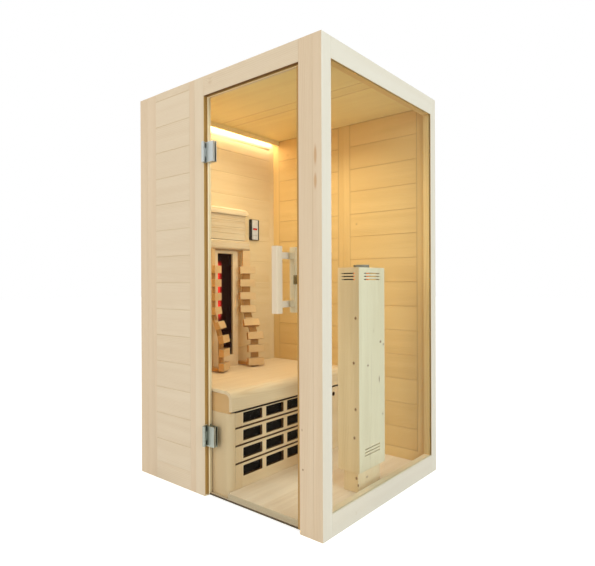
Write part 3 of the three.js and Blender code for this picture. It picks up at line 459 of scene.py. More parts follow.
# %% Timber finishes
tones = {
    "outer": {"pale": "E6D3B5", "dark": "CAAA80", "figure": 0.36, "knots": 0.05},
    "post": {"pale": "E4CDAD", "dark": "C8A67A", "figure": 0.36, "knots": 0.05},
    "window": {"pale": "E5D9C4", "dark": "CDB795", "figure": 0.32, "knots": 0.03},
    "outer_joint": {"pale": "DECAA8", "dark": "CDB088", "figure": 0.40, "knots": 0.0},
    "lining": {"pale": "E5CA9A", "dark": "BC9250", "figure": 0.34, "knots": 0.03},
    "far": {"pale": "E8C480", "dark": "C09048", "figure": 0.36, "knots": 0.04},
    "ceiling": {"pale": "FDE8A6", "dark": "D8AE66", "figure": 0.36, "knots": 0.01},
    "lining_joint": {"pale": "E6CC9C", "dark": "D2B078", "figure": 0.40, "knots": 0.0},
    "inside_frame_painted_light": {"pale": "F4D490", "dark": "D0A058", "figure": 0.36, "knots": 0.02},
    "inner_joint": {"pale": "D6AE70", "dark": "BA9050", "figure": 0.40, "knots": 0.0},
    "ledge": {"pale": "EFDDB8", "dark": "D8BE90", "figure": 0.32, "knots": 0.0},
    "floor": {"pale": "F5E5CA", "dark": "CFAF84", "figure": 0.55, "knots": 0.06},
    "floor_painted_shade": {"pale": "DCC8A6", "dark": "B89E74", "figure": 0.36, "knots": 0.0},
    "base": {"pale": "E8CCA0", "dark": "BF9B68", "figure": 0.30, "knots": 0.0},
    "seat_end": {"pale": "E1B479", "dark": "B88848", "figure": 0.36, "knots": 0.0},
    "seat": {"pale": "EED6AE", "dark": "CDA66C", "figure": 0.40, "knots": 0.0},
    "rest": {"pale": "ECCFA2", "dark": "C79F66", "figure": 0.40, "knots": 0.0},
    "block": {"pale": "DFBA85", "dark": "BC8F54", "figure": 0.40, "knots": 0.0},
    "block_side_painted_shade": {"pale": "E2A860", "dark": "B98038", "figure": 0.40, "knots": 0.0},
    "lath_painted_shade": {"pale": "BE8A4A", "dark": "8E6028", "figure": 0.45, "knots": 0.0},
    "painted_light_pale": {"pale": "F4DFB4", "dark": "D2B078", "figure": 0.30, "knots": 0.0},
    "head": {"pale": "DDCAA6", "dark": "AA824E", "figure": 0.85, "knots": 0.0},
    "painted_shade_brown": {"pale": "5A3612", "dark": "351C08", "figure": 0.50, "knots": 0.0},
    "opening_painted_shade": {"pale": "6A4620", "dark": "3E260E", "figure": 0.50, "knots": 0.0},
    "tower_inside_painted_shade": {"pale": "2A1A0C", "dark": "160E06", "figure": 0.50, "knots": 0.0},
    "tower_near": {"pale": "EFD5A2", "dark": "C6A268", "figure": 0.45, "knots": 0.35},
    "plinth": {"pale": "FFEAC0", "dark": "E8C692", "figure": 0.40, "knots": 0.20},
    "tower": {"pale": "F2E4C0", "dark": "C6AE7C", "figure": 0.45, "knots": 0.35},
}
timbers = {}


def timber(tone, grain, boards=None, marks=()):
    """Spruce in one tone. Grain names the axes along, across and through, such as ZXY."""
    key = (tone, grain, boards, tuple(marks))
    if key in timbers:
        return timbers[key]
    name = f"{tone}_spruce_{grain.lower()}"
    material, tree, shader, place = new_finish(name)
    axes = dict(zip("XYZ", split(tree, place)))
    grained = tree.nodes.new("ShaderNodeGroup")
    grained.node_tree = timber_grain
    put(tree, vector_of(tree, *[axes[axis] for axis in grain]), grained.inputs["Place"])
    grained.inputs["Pale"].default_value = srgb(tones[tone]["pale"])
    grained.inputs["Dark"].default_value = srgb(tones[tone]["dark"])
    grained.inputs["Figure"].default_value = tones[tone]["figure"]
    grained.inputs["Knots"].default_value = tones[tone]["knots"]
    if boards:
        grained.inputs["Board Start"].default_value = boards[0]
        grained.inputs["Board Width"].default_value = boards[1]
    colour = grained.outputs["Color"]
    for centre, reach, strength, *stain in marks:
        mark = tree.nodes.new("ShaderNodeGroup")
        mark.node_tree = lens_mark
        put(tree, place, mark.inputs["Place"])
        mark.inputs["Centre"].default_value = centre
        mark.inputs["Reach"].default_value = reach
        share = maths(tree, "MULTIPLY", mark.outputs[0], strength)
        colour = blended(tree, share, colour, srgb(stain[0] if stain else "8A5C32"))
    put(tree, colour, shader.inputs["Base Color"])
    put(tree, grained.outputs["Roughness"], shader.inputs["Roughness"])
    bumped(tree, shader, grained.outputs["Height"], 0.30, 0.00012)
    timbers[key] = material
    return material


def clad(piece, *materials):
    """Give a piece its finishes, in slot order."""
    piece.data.materials.clear()
    for material in materials:
        piece.data.materials.append(material)
    return piece


print("timber tones:", ", ".join(tones))

# %% [markdown]
# ## Stiles and rails
# A joiner's frame has upright stiles and level rails, and the grain follows each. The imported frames
# are single solids, so a Bisect cuts the copy where the rail meets the stile, and the faces between
# the cuts take the level grain.

# %% Helper that cuts rails out of a frame
def cut_at(piece, axis, place):
    """Cut a piece along a plane across one axis, so that the faces on either side can differ."""
    spot = [0.0, 0.0, 0.0]
    spot[axis] = place
    normal = [0.0, 0.0, 0.0]
    normal[axis] = 1.0
    only(piece)
    bpy.ops.object.mode_set(mode="EDIT")
    bpy.ops.mesh.select_all(action="SELECT")
    bpy.ops.mesh.bisect(plane_co=spot, plane_no=normal)
    bpy.ops.object.mode_set(mode="OBJECT")


def rails(piece, axis, low, high, material):
    """Cut a frame at two planes and give what lies between them a second finish."""
    cut_at(piece, axis, low)
    cut_at(piece, axis, high)
    piece.data.materials.append(material)
    for face in piece.data.polygons:
        if low < face.center[axis] < high:
            face.material_index = len(piece.data.materials) - 1
    return piece


def level_foot(piece):
    """Flatten the underside to the floor, where a bevel pushed a point slightly below it."""
    pick_faces(piece, lambda face: face.normal.z < -0.3 and face.center.z < 0.001)
    bpy.ops.transform.resize(value=(1.0, 1.0, 0.0), center_override=(0.0, 0.0, 0.0))
    bpy.ops.object.mode_set(mode="OBJECT")


def shade_joints(piece, axis, material, wanted=lambda face: True):
    """Give the sloping sides of the V-grooves a darker finish, where dust and shadow gather."""
    piece.data.materials.append(material)
    index = len(piece.data.materials) - 1
    for face in piece.data.polygons:
        if 0.25 < abs(face.normal[axis]) < 0.95 and wanted(face):
            face.material_index = index
    return piece


print("rails are cut by Bisect")

# %% [markdown]
# ## Door wall
# Two plain posts stand on either side of the doorway, with a rail over it. Left of the door is a
# framed field of level planks with a fine V-groove at each joint. The posts have upright grain.

# %% Door wall
timber_edge = 0.0012
groove_edge = 0.0004
plank_start = 0.206
plank_width = 0.132
wall_planks = timber("outer", "XZY", (plank_start, plank_width))
upright_x = timber("outer", "ZXY")
upright_y = timber("outer", "ZYX")
level_x = timber("outer", "XZY")
level_y = timber("outer", "YZX")

post_x = timber("post", "ZXY")
clad(eased("front_corner_stile", timber_edge), post_x)
jamb = clad(eased("door_jamb_post", timber_edge), upright_x, timber("painted_light_pale", "ZYX"))
# The jamb's face towards the doorway takes a paler tone: painted light on a face that lies in shade.
for face in jamb.data.polygons:
    if face.normal.x > 0.7:
        face.material_index = 1
clad(eased("door_head_rail", timber_edge), level_x)
corner_knots = (
    ((0.5020, -0.4715, 0.260), (0.005, 0.02, 0.006), 0.85),
    ((0.4980, -0.4715, 0.416), (0.004, 0.02, 0.005), 0.70),
)
clad(eased("front_corner_post", timber_edge), timber("post", "ZXY", None, corner_knots))
field_low, field_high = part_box("front_panel_planks")
panel = clad(eased("front_panel_frame", timber_edge), post_x)
rails(panel, 0, field_low.x, field_high.x, level_x)
planks = clad(eased("front_panel_planks", groove_edge), wall_planks)
shade_joints(planks, 2, timber("outer_joint", "XZY"))
print("door wall dressed")

# %% [markdown]
# ## Window wall
# The glass side is a plain frame: two stiles run to the full height and two rails stand between them.
# The pane sits in a groove, sealed by a thin dark bead against the timber.

# %% Window wall frame
stile_streaks = (
    ((0.5690, -0.4715, 1.4885), (0.0095, 0.02, 0.052), 0.60, "C08A4C"),
    ((0.5690, -0.4715, 1.3885), (0.0095, 0.02, 0.042), 0.60, "C08A4C"),
)
pane_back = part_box("window_glass")[0].x
window_frame = []
for name in ("window_near_stile", "window_far_stile"):
    window_frame.append(clad(eased(name, timber_edge), timber("window", "ZYX"), timber("inside_frame_painted_light", "ZYX")))
for name, inside in (("window_top_rail", "inside_frame_painted_light"), ("window_bottom_rail", "ledge")):
    window_frame.append(clad(eased(name, timber_edge), timber("window", "YZX"), timber(inside, "YZX")))
# Faces inside the pane take the inside tones. On the stiles and the top rail that tone is paler than the far
# wall inside: painted light on reveals that lie in shade.
outer_low, outer_high = cad_box
for piece in window_frame:
    for face in piece.data.polygons:
        at_back = face.center.y > outer_high[1] - 0.004
        at_top = face.center.z > outer_high[2] - 0.004
        at_foot = face.center.z < outer_low[2] + 0.004
        if face.center.x < pane_back + 0.002 and not (at_back or at_top or at_foot):
            face.material_index = 1
near = window_frame[0]
near.data.materials.append(timber("post", "ZXY", None, stile_streaks))
for face in near.data.polygons:
    if face.normal.y < -0.7:
        face.material_index = 2
print("window wall dressed")

# %% [markdown]
# ## Far wall, bench wall and lining
# Behind the bench the planks run across the cabin, and each board has its own tone. The far wall is
# two framed fields. Outside, the same solids show their pale back.

# %% Far wall and bench wall
lining_boards = timber("lining", "YZX", (plank_start, plank_width))
outside_planks = timber("outer", "YZX", (plank_start, plank_width))
far_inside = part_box("far_left_frame")[0].y


def field_lines(low, high):
    """Dark lines where a field of planks meets its frame: marks drawn out along each edge."""
    middle = (low + high) / 2
    upright = (0.007, 0.05, 6.0)
    level = (6.0, 0.05, 0.007)
    return (
        ((low.x, middle.y, middle.z), upright, 0.45),
        ((high.x, middle.y, middle.z), upright, 0.45),
        ((middle.x, middle.y, low.z), level, 0.45),
        ((middle.x, middle.y, high.z), level, 0.45),
    )


def pale_outside(piece, materials):
    """Faces that lie outside the cabin take the pale finishes, slot by slot."""
    count = len(piece.data.materials)
    for material in materials:
        piece.data.materials.append(material)
    for face in piece.data.polygons:
        if face.center.y > far_inside + 0.004:
            face.material_index += count
    return piece


for side in ("far_left", "far_right"):
    field_low, field_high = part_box(f"{side}_planks")
    piece = clad(eased(f"{side}_frame", timber_edge), timber("far", "ZXY"))
    rails(piece, 0, field_low.x, field_high.x, timber("far", "XZY"))
    pale_outside(piece, (upright_x, level_x))
    far_planks = timber("far", "XZY", (plank_start, plank_width), field_lines(field_low, field_high))
    piece = clad(eased(f"{side}_planks", groove_edge), far_planks)
    pale_outside(piece, (wall_planks,))
    shade_joints(piece, 2, timber("inner_joint", "XZY"), lambda face: face.normal.y < 0.0)
    shade_joints(piece, 2, timber("outer_joint", "XZY"), lambda face: face.normal.y > 0.0)

piece = clad(eased("bench_wall_panel", groove_edge), outside_planks)
level_foot(piece)
shade_joints(piece, 2, timber("outer_joint", "YZX"))
field_low, field_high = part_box("lining_planks")
piece = clad(eased("lining_frame", timber_edge), timber("lining", "ZYX"))
rails(piece, 1, field_low.y, field_high.y, timber("lining", "YZX"))
piece = clad(eased("lining_planks", groove_edge), lining_boards)
shade_joints(piece, 2, timber("lining_joint", "YZX"))
print("far wall and lining dressed")

# %% [markdown]
# ## Roof, valance and floor
# The roof board has two joints on its underside, and the valance hides the light strip. The floor is
# a plain board that shows small scuffs.

# %% Roof, valance and floor
roof = clad(eased("roof_panel", groove_edge), timber("ceiling", "XYZ"), timber("outer", "XYZ"))
roof_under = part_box("roof_panel")[0].z
for face in roof.data.polygons:
    if face.center.z > roof_under + 0.004:
        face.material_index = 1
shade_joints(roof, 1, timber("inner_joint", "XYZ"), lambda face: face.normal.z < 0.0)
clad(eased("light_valance", timber_edge), timber("ceiling", "YZX"))
# The floor's front edge and the floor under the bench take a greyer, darker copy of the floor: painted shade. A
# band 8 mm high at the foot of the front edge is dark brown: a painted shadow line under the cabin.
ground = clad(eased("floor_panel", timber_edge), timber("floor", "YXZ", (0.035, 0.104)),
              timber("floor_painted_shade", "XZY"), timber("painted_shade_brown", "XZY"))
shadow_line_height = 0.008
cut_at(ground, 2, shadow_line_height)
for face in ground.data.polygons:
    if face.normal.y < -0.3 or face.center.x < 0.034:
        face.material_index = 1
    if face.normal.y < -0.3 and face.center.z < shadow_line_height:
        face.material_index = 2
print("roof, valance and floor dressed")

# %% [markdown]
# ## Glass
# Safety glass is clear, with a faint green edge. On the door pane the polished edge is painted pale
# and given a warm emission: a painted glow for the light that runs along the pane. Its bottom edge is
# painted dark olive: painted shade. The shader lets light through by Transmission, and for shadow rays
# it turns into a plain Transparent shader, so that the lamps reach the inside without noisy caustics.

# %% Clear glass and its polished edge
def glass(name, clean, smeared):
    material, tree, shader, place = new_finish(name)
    shader.inputs["Transmission Weight"].default_value = 1.0
    shader.inputs["IOR"].default_value = 1.06
    shader.inputs["Roughness"].default_value = 0.0
    smear = noise(tree, place, (3.0, 3.0, 5.0), 4.0)
    put(tree, blended(tree, fade(tree, smear, 0.45, 0.75), clean, smeared), shader.inputs["Base Color"])
    clear = tree.nodes.new("ShaderNodeBsdfTransparent")
    clear.inputs["Color"].default_value = clean
    mixed = tree.nodes.new("ShaderNodeMixShader")
    rays = tree.nodes.new("ShaderNodeLightPath")
    put(tree, rays.outputs["Is Shadow Ray"], mixed.inputs[0])
    put(tree, shader.outputs[0], mixed.inputs[1])
    put(tree, clear.outputs[0], mixed.inputs[2])
    put(tree, mixed.outputs[0], tree.nodes["Material Output"].inputs["Surface"])
    return material


clear_glass = glass("clear_glass", (0.985, 0.995, 0.985, 1.0), (0.965, 0.975, 0.960, 1.0))
# Polished edge: pale, with a warm emission that is a painted glow.
glowing_glass_edge, tree, shader, place = new_finish("glass_edge_painted_glow")
shader.inputs["Roughness"].default_value = 0.12
ripple = noise(tree, place, (40.0, 40.0, 6.0), 2.0)
put(tree, blended(tree, ripple, srgb("F0DCAE"), srgb("F8EBCB")), shader.inputs["Base Color"])
shader.inputs["Emission Color"].default_value = (1.0, 0.82, 0.52, 1.0)
shader.inputs["Emission Strength"].default_value = 0.22
shaded_edge, tree, shader, place = new_finish("shaded_glass_edge")
shader.inputs["Roughness"].default_value = 0.2
ripple = noise(tree, place, (30.0, 40.0, 40.0), 2.0)
put(tree, blended(tree, ripple, srgb("4C4A34"), srgb("6E6A4C")), shader.inputs["Base Color"])

# The door pane's side and top edges take the painted glow, and its bottom edge takes the painted shade.
door_pane = clad(eased("door_glass", 0.0008), clear_glass, glowing_glass_edge, shaded_edge)
for face in door_pane.data.polygons:
    if abs(face.normal.y) < 0.9:
        face.material_index = 2 if face.normal.z < -0.3 else 1
window_pane = clad(eased("window_glass", 0.0008), clear_glass)
print("two panes of clear glass")

# %% [markdown]
# ## Seals
# Brown rubber closes the gap round the door: one strip in the gap itself, and flat strips with a soft
# lip on the jamb, under the head rail and on the free edge of the pane. A strip is a long box whose
# visible face is inset and raised, so that the lip catches a line of light.

# %% Rubber finishes and door seal
def rubber_of(name, dark, pale):
    """Soft rubber with a fine speckle, between two tones."""
    material, tree, shader, place = new_finish(name)
    speck = noise(tree, place, (300.0, 300.0, 300.0), 2.0)
    put(tree, blended(tree, speck, srgb(dark), srgb(pale)), shader.inputs["Base Color"])
    put(tree, fade(tree, speck, 0.3, 0.7, 0.55, 0.75), shader.inputs["Roughness"])
    bumped(tree, shader, speck, 0.2, 0.0003)
    return material


rubber = rubber_of("brown_rubber", "A67A3A", "C49A56")
rubber_painted_shade = rubber_of("rubber_painted_shade", "6E4A20", "86602E")
rubber_painted_light = rubber_of("rubber_painted_light", "E6D8B2", "F2E8CC")
clad(eased("door_seal", 0.0004), rubber)
print("door seal dressed")

# %% Seal strips round the doorway
def seal_strip(name, low, high, outward, body):
    """A flat rubber strip with a raised lip along its middle."""
    low = Vector(low)
    high = Vector(high)
    start_fresh()
    bpy.ops.mesh.primitive_cube_add(size=1.0, location=(low + high) / 2)
    strip = bpy.context.object
    strip.scale = high - low
    settle(strip)
    outward = Vector(outward)
    pick_faces(strip, lambda face: face.normal.dot(outward) > 0.9)
    bpy.ops.mesh.inset(thickness=0.0030)
    bpy.ops.transform.translate(value=outward * 0.0008)
    bpy.ops.object.mode_set(mode="OBJECT")
    softer = strip.modifiers.new("soft lip", "BEVEL")
    softer.width = 0.0003
    softer.segments = 2
    bpy.ops.object.modifier_apply(modifier=softer.name)
    even_shading(strip, 40.0)
    return belongs(clad(strip, rubber), name, body)


jamb_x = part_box("door_jamb_post")[1].x
latch_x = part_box("front_corner_post")[0].x
head_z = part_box("door_head_rail")[0].z
wall_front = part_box("door_jamb_post")[0].y
pane_low, pane_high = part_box("door_glass")
seal_y = (wall_front + 0.0015, pane_low.y - 0.0008)
hinge_spans = [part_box("lower_hinge_wall_leaf"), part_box("upper_hinge_wall_leaf")]
levels = [pane_low.z]
for span_low, span_high in hinge_spans:
    levels += [span_low.z - 0.002, span_high.z + 0.004]
levels.append(head_z - 0.002)
for index, label in enumerate(("low", "middle", "high")):
    strip_z = levels[2 * index:2 * index + 2]
    seal_strip(f"jamb_seal_{label}", (jamb_x, seal_y[0], strip_z[0]), (jamb_x + 0.0010, seal_y[1], strip_z[1]),
               (1.0, 0.0, 0.0), "cabin")
head_seal = seal_strip("head_seal", (jamb_x + 0.002, seal_y[0], head_z - 0.0010), (latch_x, seal_y[1], head_z),
                       (0.0, 0.0, -1.0), "cabin")
# The strip under the head rail takes a darker copy of the rubber: painted shade under the rail.
clad(head_seal, rubber_painted_shade)
seal_strip("door_edge_seal", (pane_high.x - 0.016, pane_low.y - 0.0010, pane_low.z + 0.002),
           (pane_high.x - 0.001, pane_low.y - 0.0002, pane_high.z - 0.002), (0.0, -1.0, 0.0), "door")
print("seal strips between", [round(level, 3) for level in levels])

# %% [markdown]
# ## Glazing bead
# A slim soft bead closes the groove that holds the window pane. It starts as a plane at the size of
# the opening; an inset leaves a narrow border, the middle is deleted, and Solidify and Bevel turn the
# border into a rounded bead.

# %% Window bead
opening_low_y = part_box("window_near_stile")[1].y
opening_high_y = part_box("window_far_stile")[0].y
opening_low_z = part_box("window_bottom_rail")[1].z
opening_high_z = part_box("window_top_rail")[0].z
bead_width = 0.0025
bead_thickness = 0.0022


def window_bead(name, face_x, outward, material):
    """A narrow border that lies on the pane all round the opening."""
    start_fresh()
    centre = (face_x, (opening_low_y + opening_high_y) / 2, (opening_low_z + opening_high_z) / 2)
    bpy.ops.mesh.primitive_plane_add(size=1.0, location=centre, rotation=(0.0, math.pi / 2 * outward, 0.0))
    bead = bpy.context.object
    bead.scale = (opening_high_z - opening_low_z, opening_high_y - opening_low_y, 1.0)
    settle(bead)
    bpy.ops.object.mode_set(mode="EDIT")
    bpy.ops.mesh.select_all(action="SELECT")
    bpy.ops.mesh.inset(thickness=bead_width)
    bpy.ops.mesh.delete(type="FACE")
    bpy.ops.object.mode_set(mode="OBJECT")
    wall = bead.modifiers.new("bead thickness", "SOLIDIFY")
    wall.thickness = bead_thickness
    wall.offset = 1.0
    bpy.ops.object.modifier_apply(modifier=wall.name)
    softer = bead.modifiers.new("round lip", "BEVEL")
    softer.width = 0.0008
    softer.segments = 2
    bpy.ops.object.modifier_apply(modifier=softer.name)
    even_shading(bead, 50.0)
    return belongs(clad(bead, material), name, "cabin")


window_low, window_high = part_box("window_glass")
outer_bead = window_bead("window_outer_bead", window_high.x, 1, rubber)
# The bottom run of the bead takes a pale copy of the rubber: painted light.
outer_bead.data.materials.append(rubber_painted_light)
for face in outer_bead.data.polygons:
    if face.center.z < opening_low_z + 2 * bead_width:
        face.material_index = 1
print("bead has", len(outer_bead.data.polygons), "faces")

# %% [markdown]
# ## Steel
# The hinges are brushed stainless steel: the polishing belt leaves fine scratches one way, which
# spread the reflections. Stretched noise drives roughness and bump; the metal itself is plain.

# %% Brushed steel
def steel(name, stretch, dark, pale, paler):
    material, tree, shader, place = new_finish(name)
    shader.inputs["Metallic"].default_value = 1.0
    scratch = noise(tree, place, stretch, 3.0)
    patch = noise(tree, place, (14.0, 14.0, 14.0), 2.0)
    tone = blended(tree, patch, pale, paler)
    put(tree, blended(tree, fade(tree, scratch, 0.45, 0.8, 0.0, 0.35), tone, dark),
        shader.inputs["Base Color"])
    put(tree, fade(tree, scratch, 0.2, 0.8, 0.36, 0.50), shader.inputs["Roughness"])
    bumped(tree, shader, scratch, 0.15, 0.0002)
    return material


brushed_steel = steel("brushed_steel", (700.0, 700.0, 30.0), srgb("A4A9A5"), srgb("C9CECB"), srgb("D9DDDA"))
dull_steel = steel("dull_steel", (90.0, 90.0, 500.0), srgb("6E6D62"), srgb("8F8E80"), srgb("A5A394"))
bronzed_steel = steel("bronzed_steel", (300.0, 300.0, 60.0), srgb("6A583C"), srgb("86724E"), srgb("9C885F"))
shaded_steel = steel("shaded_steel", (700.0, 700.0, 30.0), srgb("80857B"), srgb("9DA297"), srgb("AEB3A8"))
# The lower hinge takes a darker copy of the steel: painted shade.
for hinge, metal in (("upper_hinge", brushed_steel), ("lower_hinge", shaded_steel)):
    for part, radius in (("wall_leaf", 0.0005), ("pin", 0.0005), ("clamp", 0.0006)):
        clad(eased(f"{hinge}_{part}", radius), metal)
catch = clad(eased("catch_plate", 0.0003), bronzed_steel)
pick_faces(catch, lambda face: face.normal.y < -0.9)
bpy.ops.transform.translate(value=(0.0, 0.0003, 0.0))
bpy.ops.object.mode_set(mode="OBJECT")
clad(eased("aroma_dish", 0.0004, 2, 35.0), dull_steel)
print("steel dressed")

# %% [markdown]
# ## Hinge screws
# Two socket screws hold each wall leaf in the jamb. They show when the door stands open. The head is a
# short cylinder; its face is inset twice, once for the rim and once for the socket, which is then
# pushed in. The first screw is modelled and the others are copies with a mesh of their own.

# %% Screws of the wall leaves
def socket_screw(centre):
    """A flat screw head with a hexagonal socket, facing +X."""
    start_fresh()
    bpy.ops.mesh.primitive_cylinder_add(
        vertices=24, radius=0.0042, depth=0.0012, location=centre, rotation=(0.0, math.pi / 2, 0.0))
    screw = settle(bpy.context.object)
    pick_faces(screw, lambda face: face.normal.x > 0.9)
    bpy.ops.mesh.inset(thickness=0.0008)
    bpy.ops.transform.translate(value=(0.0003, 0.0, 0.0))
    bpy.ops.mesh.inset(thickness=0.0015)
    bpy.ops.mesh.extrude_region_move(TRANSFORM_OT_translate={"value": (-0.0008, 0.0, 0.0)})
    bpy.ops.object.mode_set(mode="OBJECT")
    even_shading(screw, 35.0)
    return clad(screw, brushed_steel)


first_screw = None
for hinge in ("upper_hinge", "lower_hinge"):
    leaf_low, leaf_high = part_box(f"{hinge}_wall_leaf")
    for label, height in (("top", leaf_high.z - 0.020), ("bottom", leaf_low.z + 0.020)):
        spot = Vector((jamb_x, leaf_high.y - 0.012, height))
        if first_screw is None:
            first_screw = screw = socket_screw(spot)
            first_spot = spot
        else:
            screw = bpy.data.objects.new("screw", first_screw.data.copy())
            scene.collection.objects.link(screw)
            only(screw)
            bpy.ops.transform.translate(value=spot - first_spot)
            settle(screw)
        belongs(screw, f"{hinge}_{label}_screw", "cabin")
print("four hinge screws")

# %% [markdown]
# ## Handle
# A timber bar on each side of the glass, held by two square spacers. The grain runs up the bar.

# %% Handle bars
clad(eased("handle_outer_bar", 0.0016, 3), upright_x)
# The inner bar takes a paler tone: painted light on a bar that lies in shade behind the glass.
clad(eased("handle_inner_bar", 0.0016, 3), timber("painted_light_pale", "ZXY"))
print("handle dressed")

# %% [markdown]
# ## Plastic
# Moulded housings have a fine spark-eroded texture that takes the shine off. Tiny noise in bump and
# roughness gives it, with a lighter tone where hands rub.

# %% Plastic finishes
def moulded(name, dark, pale, rough):
    material, tree, shader, place = new_finish(name)
    grain = noise(tree, place, (1200.0, 1200.0, 1200.0), 1.0)
    rub = noise(tree, place, (18.0, 18.0, 18.0), 3.0)
    put(tree, blended(tree, fade(tree, rub, 0.35, 0.75), dark, pale), shader.inputs["Base Color"])
    put(tree, fade(tree, rub, 0.3, 0.7, rough, rough + 0.14), shader.inputs["Roughness"])
    bumped(tree, shader, grain, 0.25, 0.0002)
    return material


black_plastic = moulded("black_plastic", srgb("141312"), srgb("242220"), 0.34)
grey_plastic = moulded("grey_plastic", srgb("C4C0B8"), srgb("D6D2CA"), 0.38)
brown_plastic = moulded("brown_plastic", srgb("5B4830"), srgb("7A6446"), 0.40)
clad(eased("catch_magnet", 0.0008), brown_plastic)
clad(eased("mains_inlet", 0.0010), black_plastic)
clad(eased("power_unit", 0.0020), black_plastic)
print("plastic dressed")

# %% Pins of the mains inlet
inlet_low, inlet_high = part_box("mains_inlet")
inlet_middle = (inlet_low + inlet_high) / 2
socket_floor = inlet_low.x + 0.018
pins = []
for step, rise in ((-0.007, -0.001), (0.0, 0.002), (0.007, -0.001)):
    start_fresh()
    spot = (socket_floor - 0.0055, inlet_middle.y + step, inlet_middle.z + rise)
    bpy.ops.mesh.primitive_cube_add(size=1.0, location=spot)
    pin = bpy.context.object
    pin.scale = (0.012, 0.002, 0.004)
    settle(pin)
    softer = pin.modifiers.new("rounded blade", "BEVEL")
    softer.width = 0.0006
    softer.segments = 2
    bpy.ops.object.modifier_apply(modifier=softer.name)
    pins.append(pin)
start_fresh()
for pin in pins:
    pin.select_set(True)
bpy.context.view_layer.objects.active = pins[0]
bpy.ops.object.join()
blades = clad(settle(bpy.context.object), brushed_steel)
even_shading(blades, 40.0)
belongs(blades, "mains_pins", "cabin")
print("three pins in the inlet")

# %% [markdown]
# ## Bench
# The seat is one bent board with a round nose, over a base with a front grille. The end panel under
# the nose sits back from the rim. Behind the grille lies a black carbon heating sheet.

# %% Bench timber
clad(eased("seat_shell", timber_edge, 3, 25.0), timber("seat", "YXZ"))
clad(eased("seat_end_panel", timber_edge), timber("seat_end", "XZY"))
clad(eased("bench_end_panel", timber_edge, 2, 25.0), timber("base", "ZXY"))
grille = clad(eased("bench_grille", 0.0008), timber("seat", "YZX", (0.0525, 0.083)))
level_foot(grille)
grille_low, grille_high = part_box("bench_grille")
rails(grille, 1, grille_low.y - 0.001, grille_low.y + 0.044, timber("base", "ZYX"))
# The floors of the level grooves and the walls of the openings and grooves take dark browns: painted shade in
# the recesses.
grille.data.materials.append(timber("painted_shade_brown", "YZX"))
grille.data.materials.append(timber("opening_painted_shade", "XYZ"))
for face in grille.data.polygons:
    sunk = grille_high.x - 0.0076 < face.center.x < grille_high.x - 0.0012
    if sunk and face.normal.x > 0.9:
        face.material_index = 2
    elif abs(face.normal.x) < 0.3:
        face.material_index = 3
clad(eased("bench_cleat", timber_edge), timber("lining", "YZX"))
print("bench timber dressed")

# %% Carbon heating sheet
carbon, tree, shader, place = new_finish("carbon_sheet")
weave = tree.nodes.new("ShaderNodeTexChecker")
weave.inputs["Scale"].default_value = 160.0
put(tree, place, weave.inputs["Vector"])
cloud = noise(tree, place, (9.0, 9.0, 9.0), 3.0)
put(tree, blended(tree, cloud, srgb("070504"), srgb("120D09")), shader.inputs["Base Color"])
shader.inputs["Specular IOR Level"].default_value = 0.10
put(tree, fade(tree, cloud, 0.3, 0.7, 0.38, 0.55), shader.inputs["Roughness"])
bumped(tree, shader, weave.outputs["Fac"], 0.25, 0.0004)
clad(eased("bench_heater", 0.0), carbon)
print("carbon sheet dressed")

# %% [markdown]
# ## Backrest
# A dark infrared pane in a timber frame glows red behind two rows of wooden blocks that press along
# the spine. Above it is the headrest, three shaped boards. The glow is an emission colour that fades
# from the lit tube at one side of the pane.

# %% Infrared pane
infrared_glass, tree, shader, place = new_finish("infrared_glass")
pane_low, pane_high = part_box("emitter_glass")
x, y, z = split(tree, place)
cloud = noise(tree, place, (12.0, 12.0, 4.0), 2.0)
put(tree, blended(tree, cloud, srgb("0C0403"), srgb("180806")), shader.inputs["Base Color"])
put(tree, fade(tree, cloud, 0.3, 0.7, 0.06, 0.14), shader.inputs["Roughness"])
shader.inputs["Specular IOR Level"].default_value = 0.08
tube = fade(tree, y, pane_low.y + 0.012, pane_low.y + 0.046, 1.0, 0.0)
reach = maths(tree, "MULTIPLY", fade(tree, z, 0.765, 0.83), fade(tree, z, 1.09, 1.132, 1.0, 0.0))
flicker = fade(tree, noise(tree, place, (60.0, 60.0, 16.0), 2.0), 0.25, 0.75, 0.55, 1.0)
glow = maths(tree, "MULTIPLY", maths(tree, "MULTIPLY", tube, reach), flicker)
put(tree, blended(tree, glow, (0.004, 0.0006, 0.0004, 1.0), (1.0, 0.045, 0.03, 1.0)),
    shader.inputs["Emission Color"])
shader.inputs["Emission Strength"].default_value = 1.3
clad(eased("emitter_glass", 0.0004), infrared_glass)

dark_glass, tree, shader, place = new_finish("dark_heater_glass")
cloud = noise(tree, place, (9.0, 9.0, 3.0), 2.0)
put(tree, blended(tree, cloud, srgb("140E0B"), srgb("261A14")), shader.inputs["Base Color"])
put(tree, fade(tree, cloud, 0.3, 0.7, 0.08, 0.18), shader.inputs["Roughness"])
clad(eased("tower_emitter", 0.0004), dark_glass)
clad(eased("emitter_reflector", 0.0), brushed_steel)
print("infrared panes dressed")

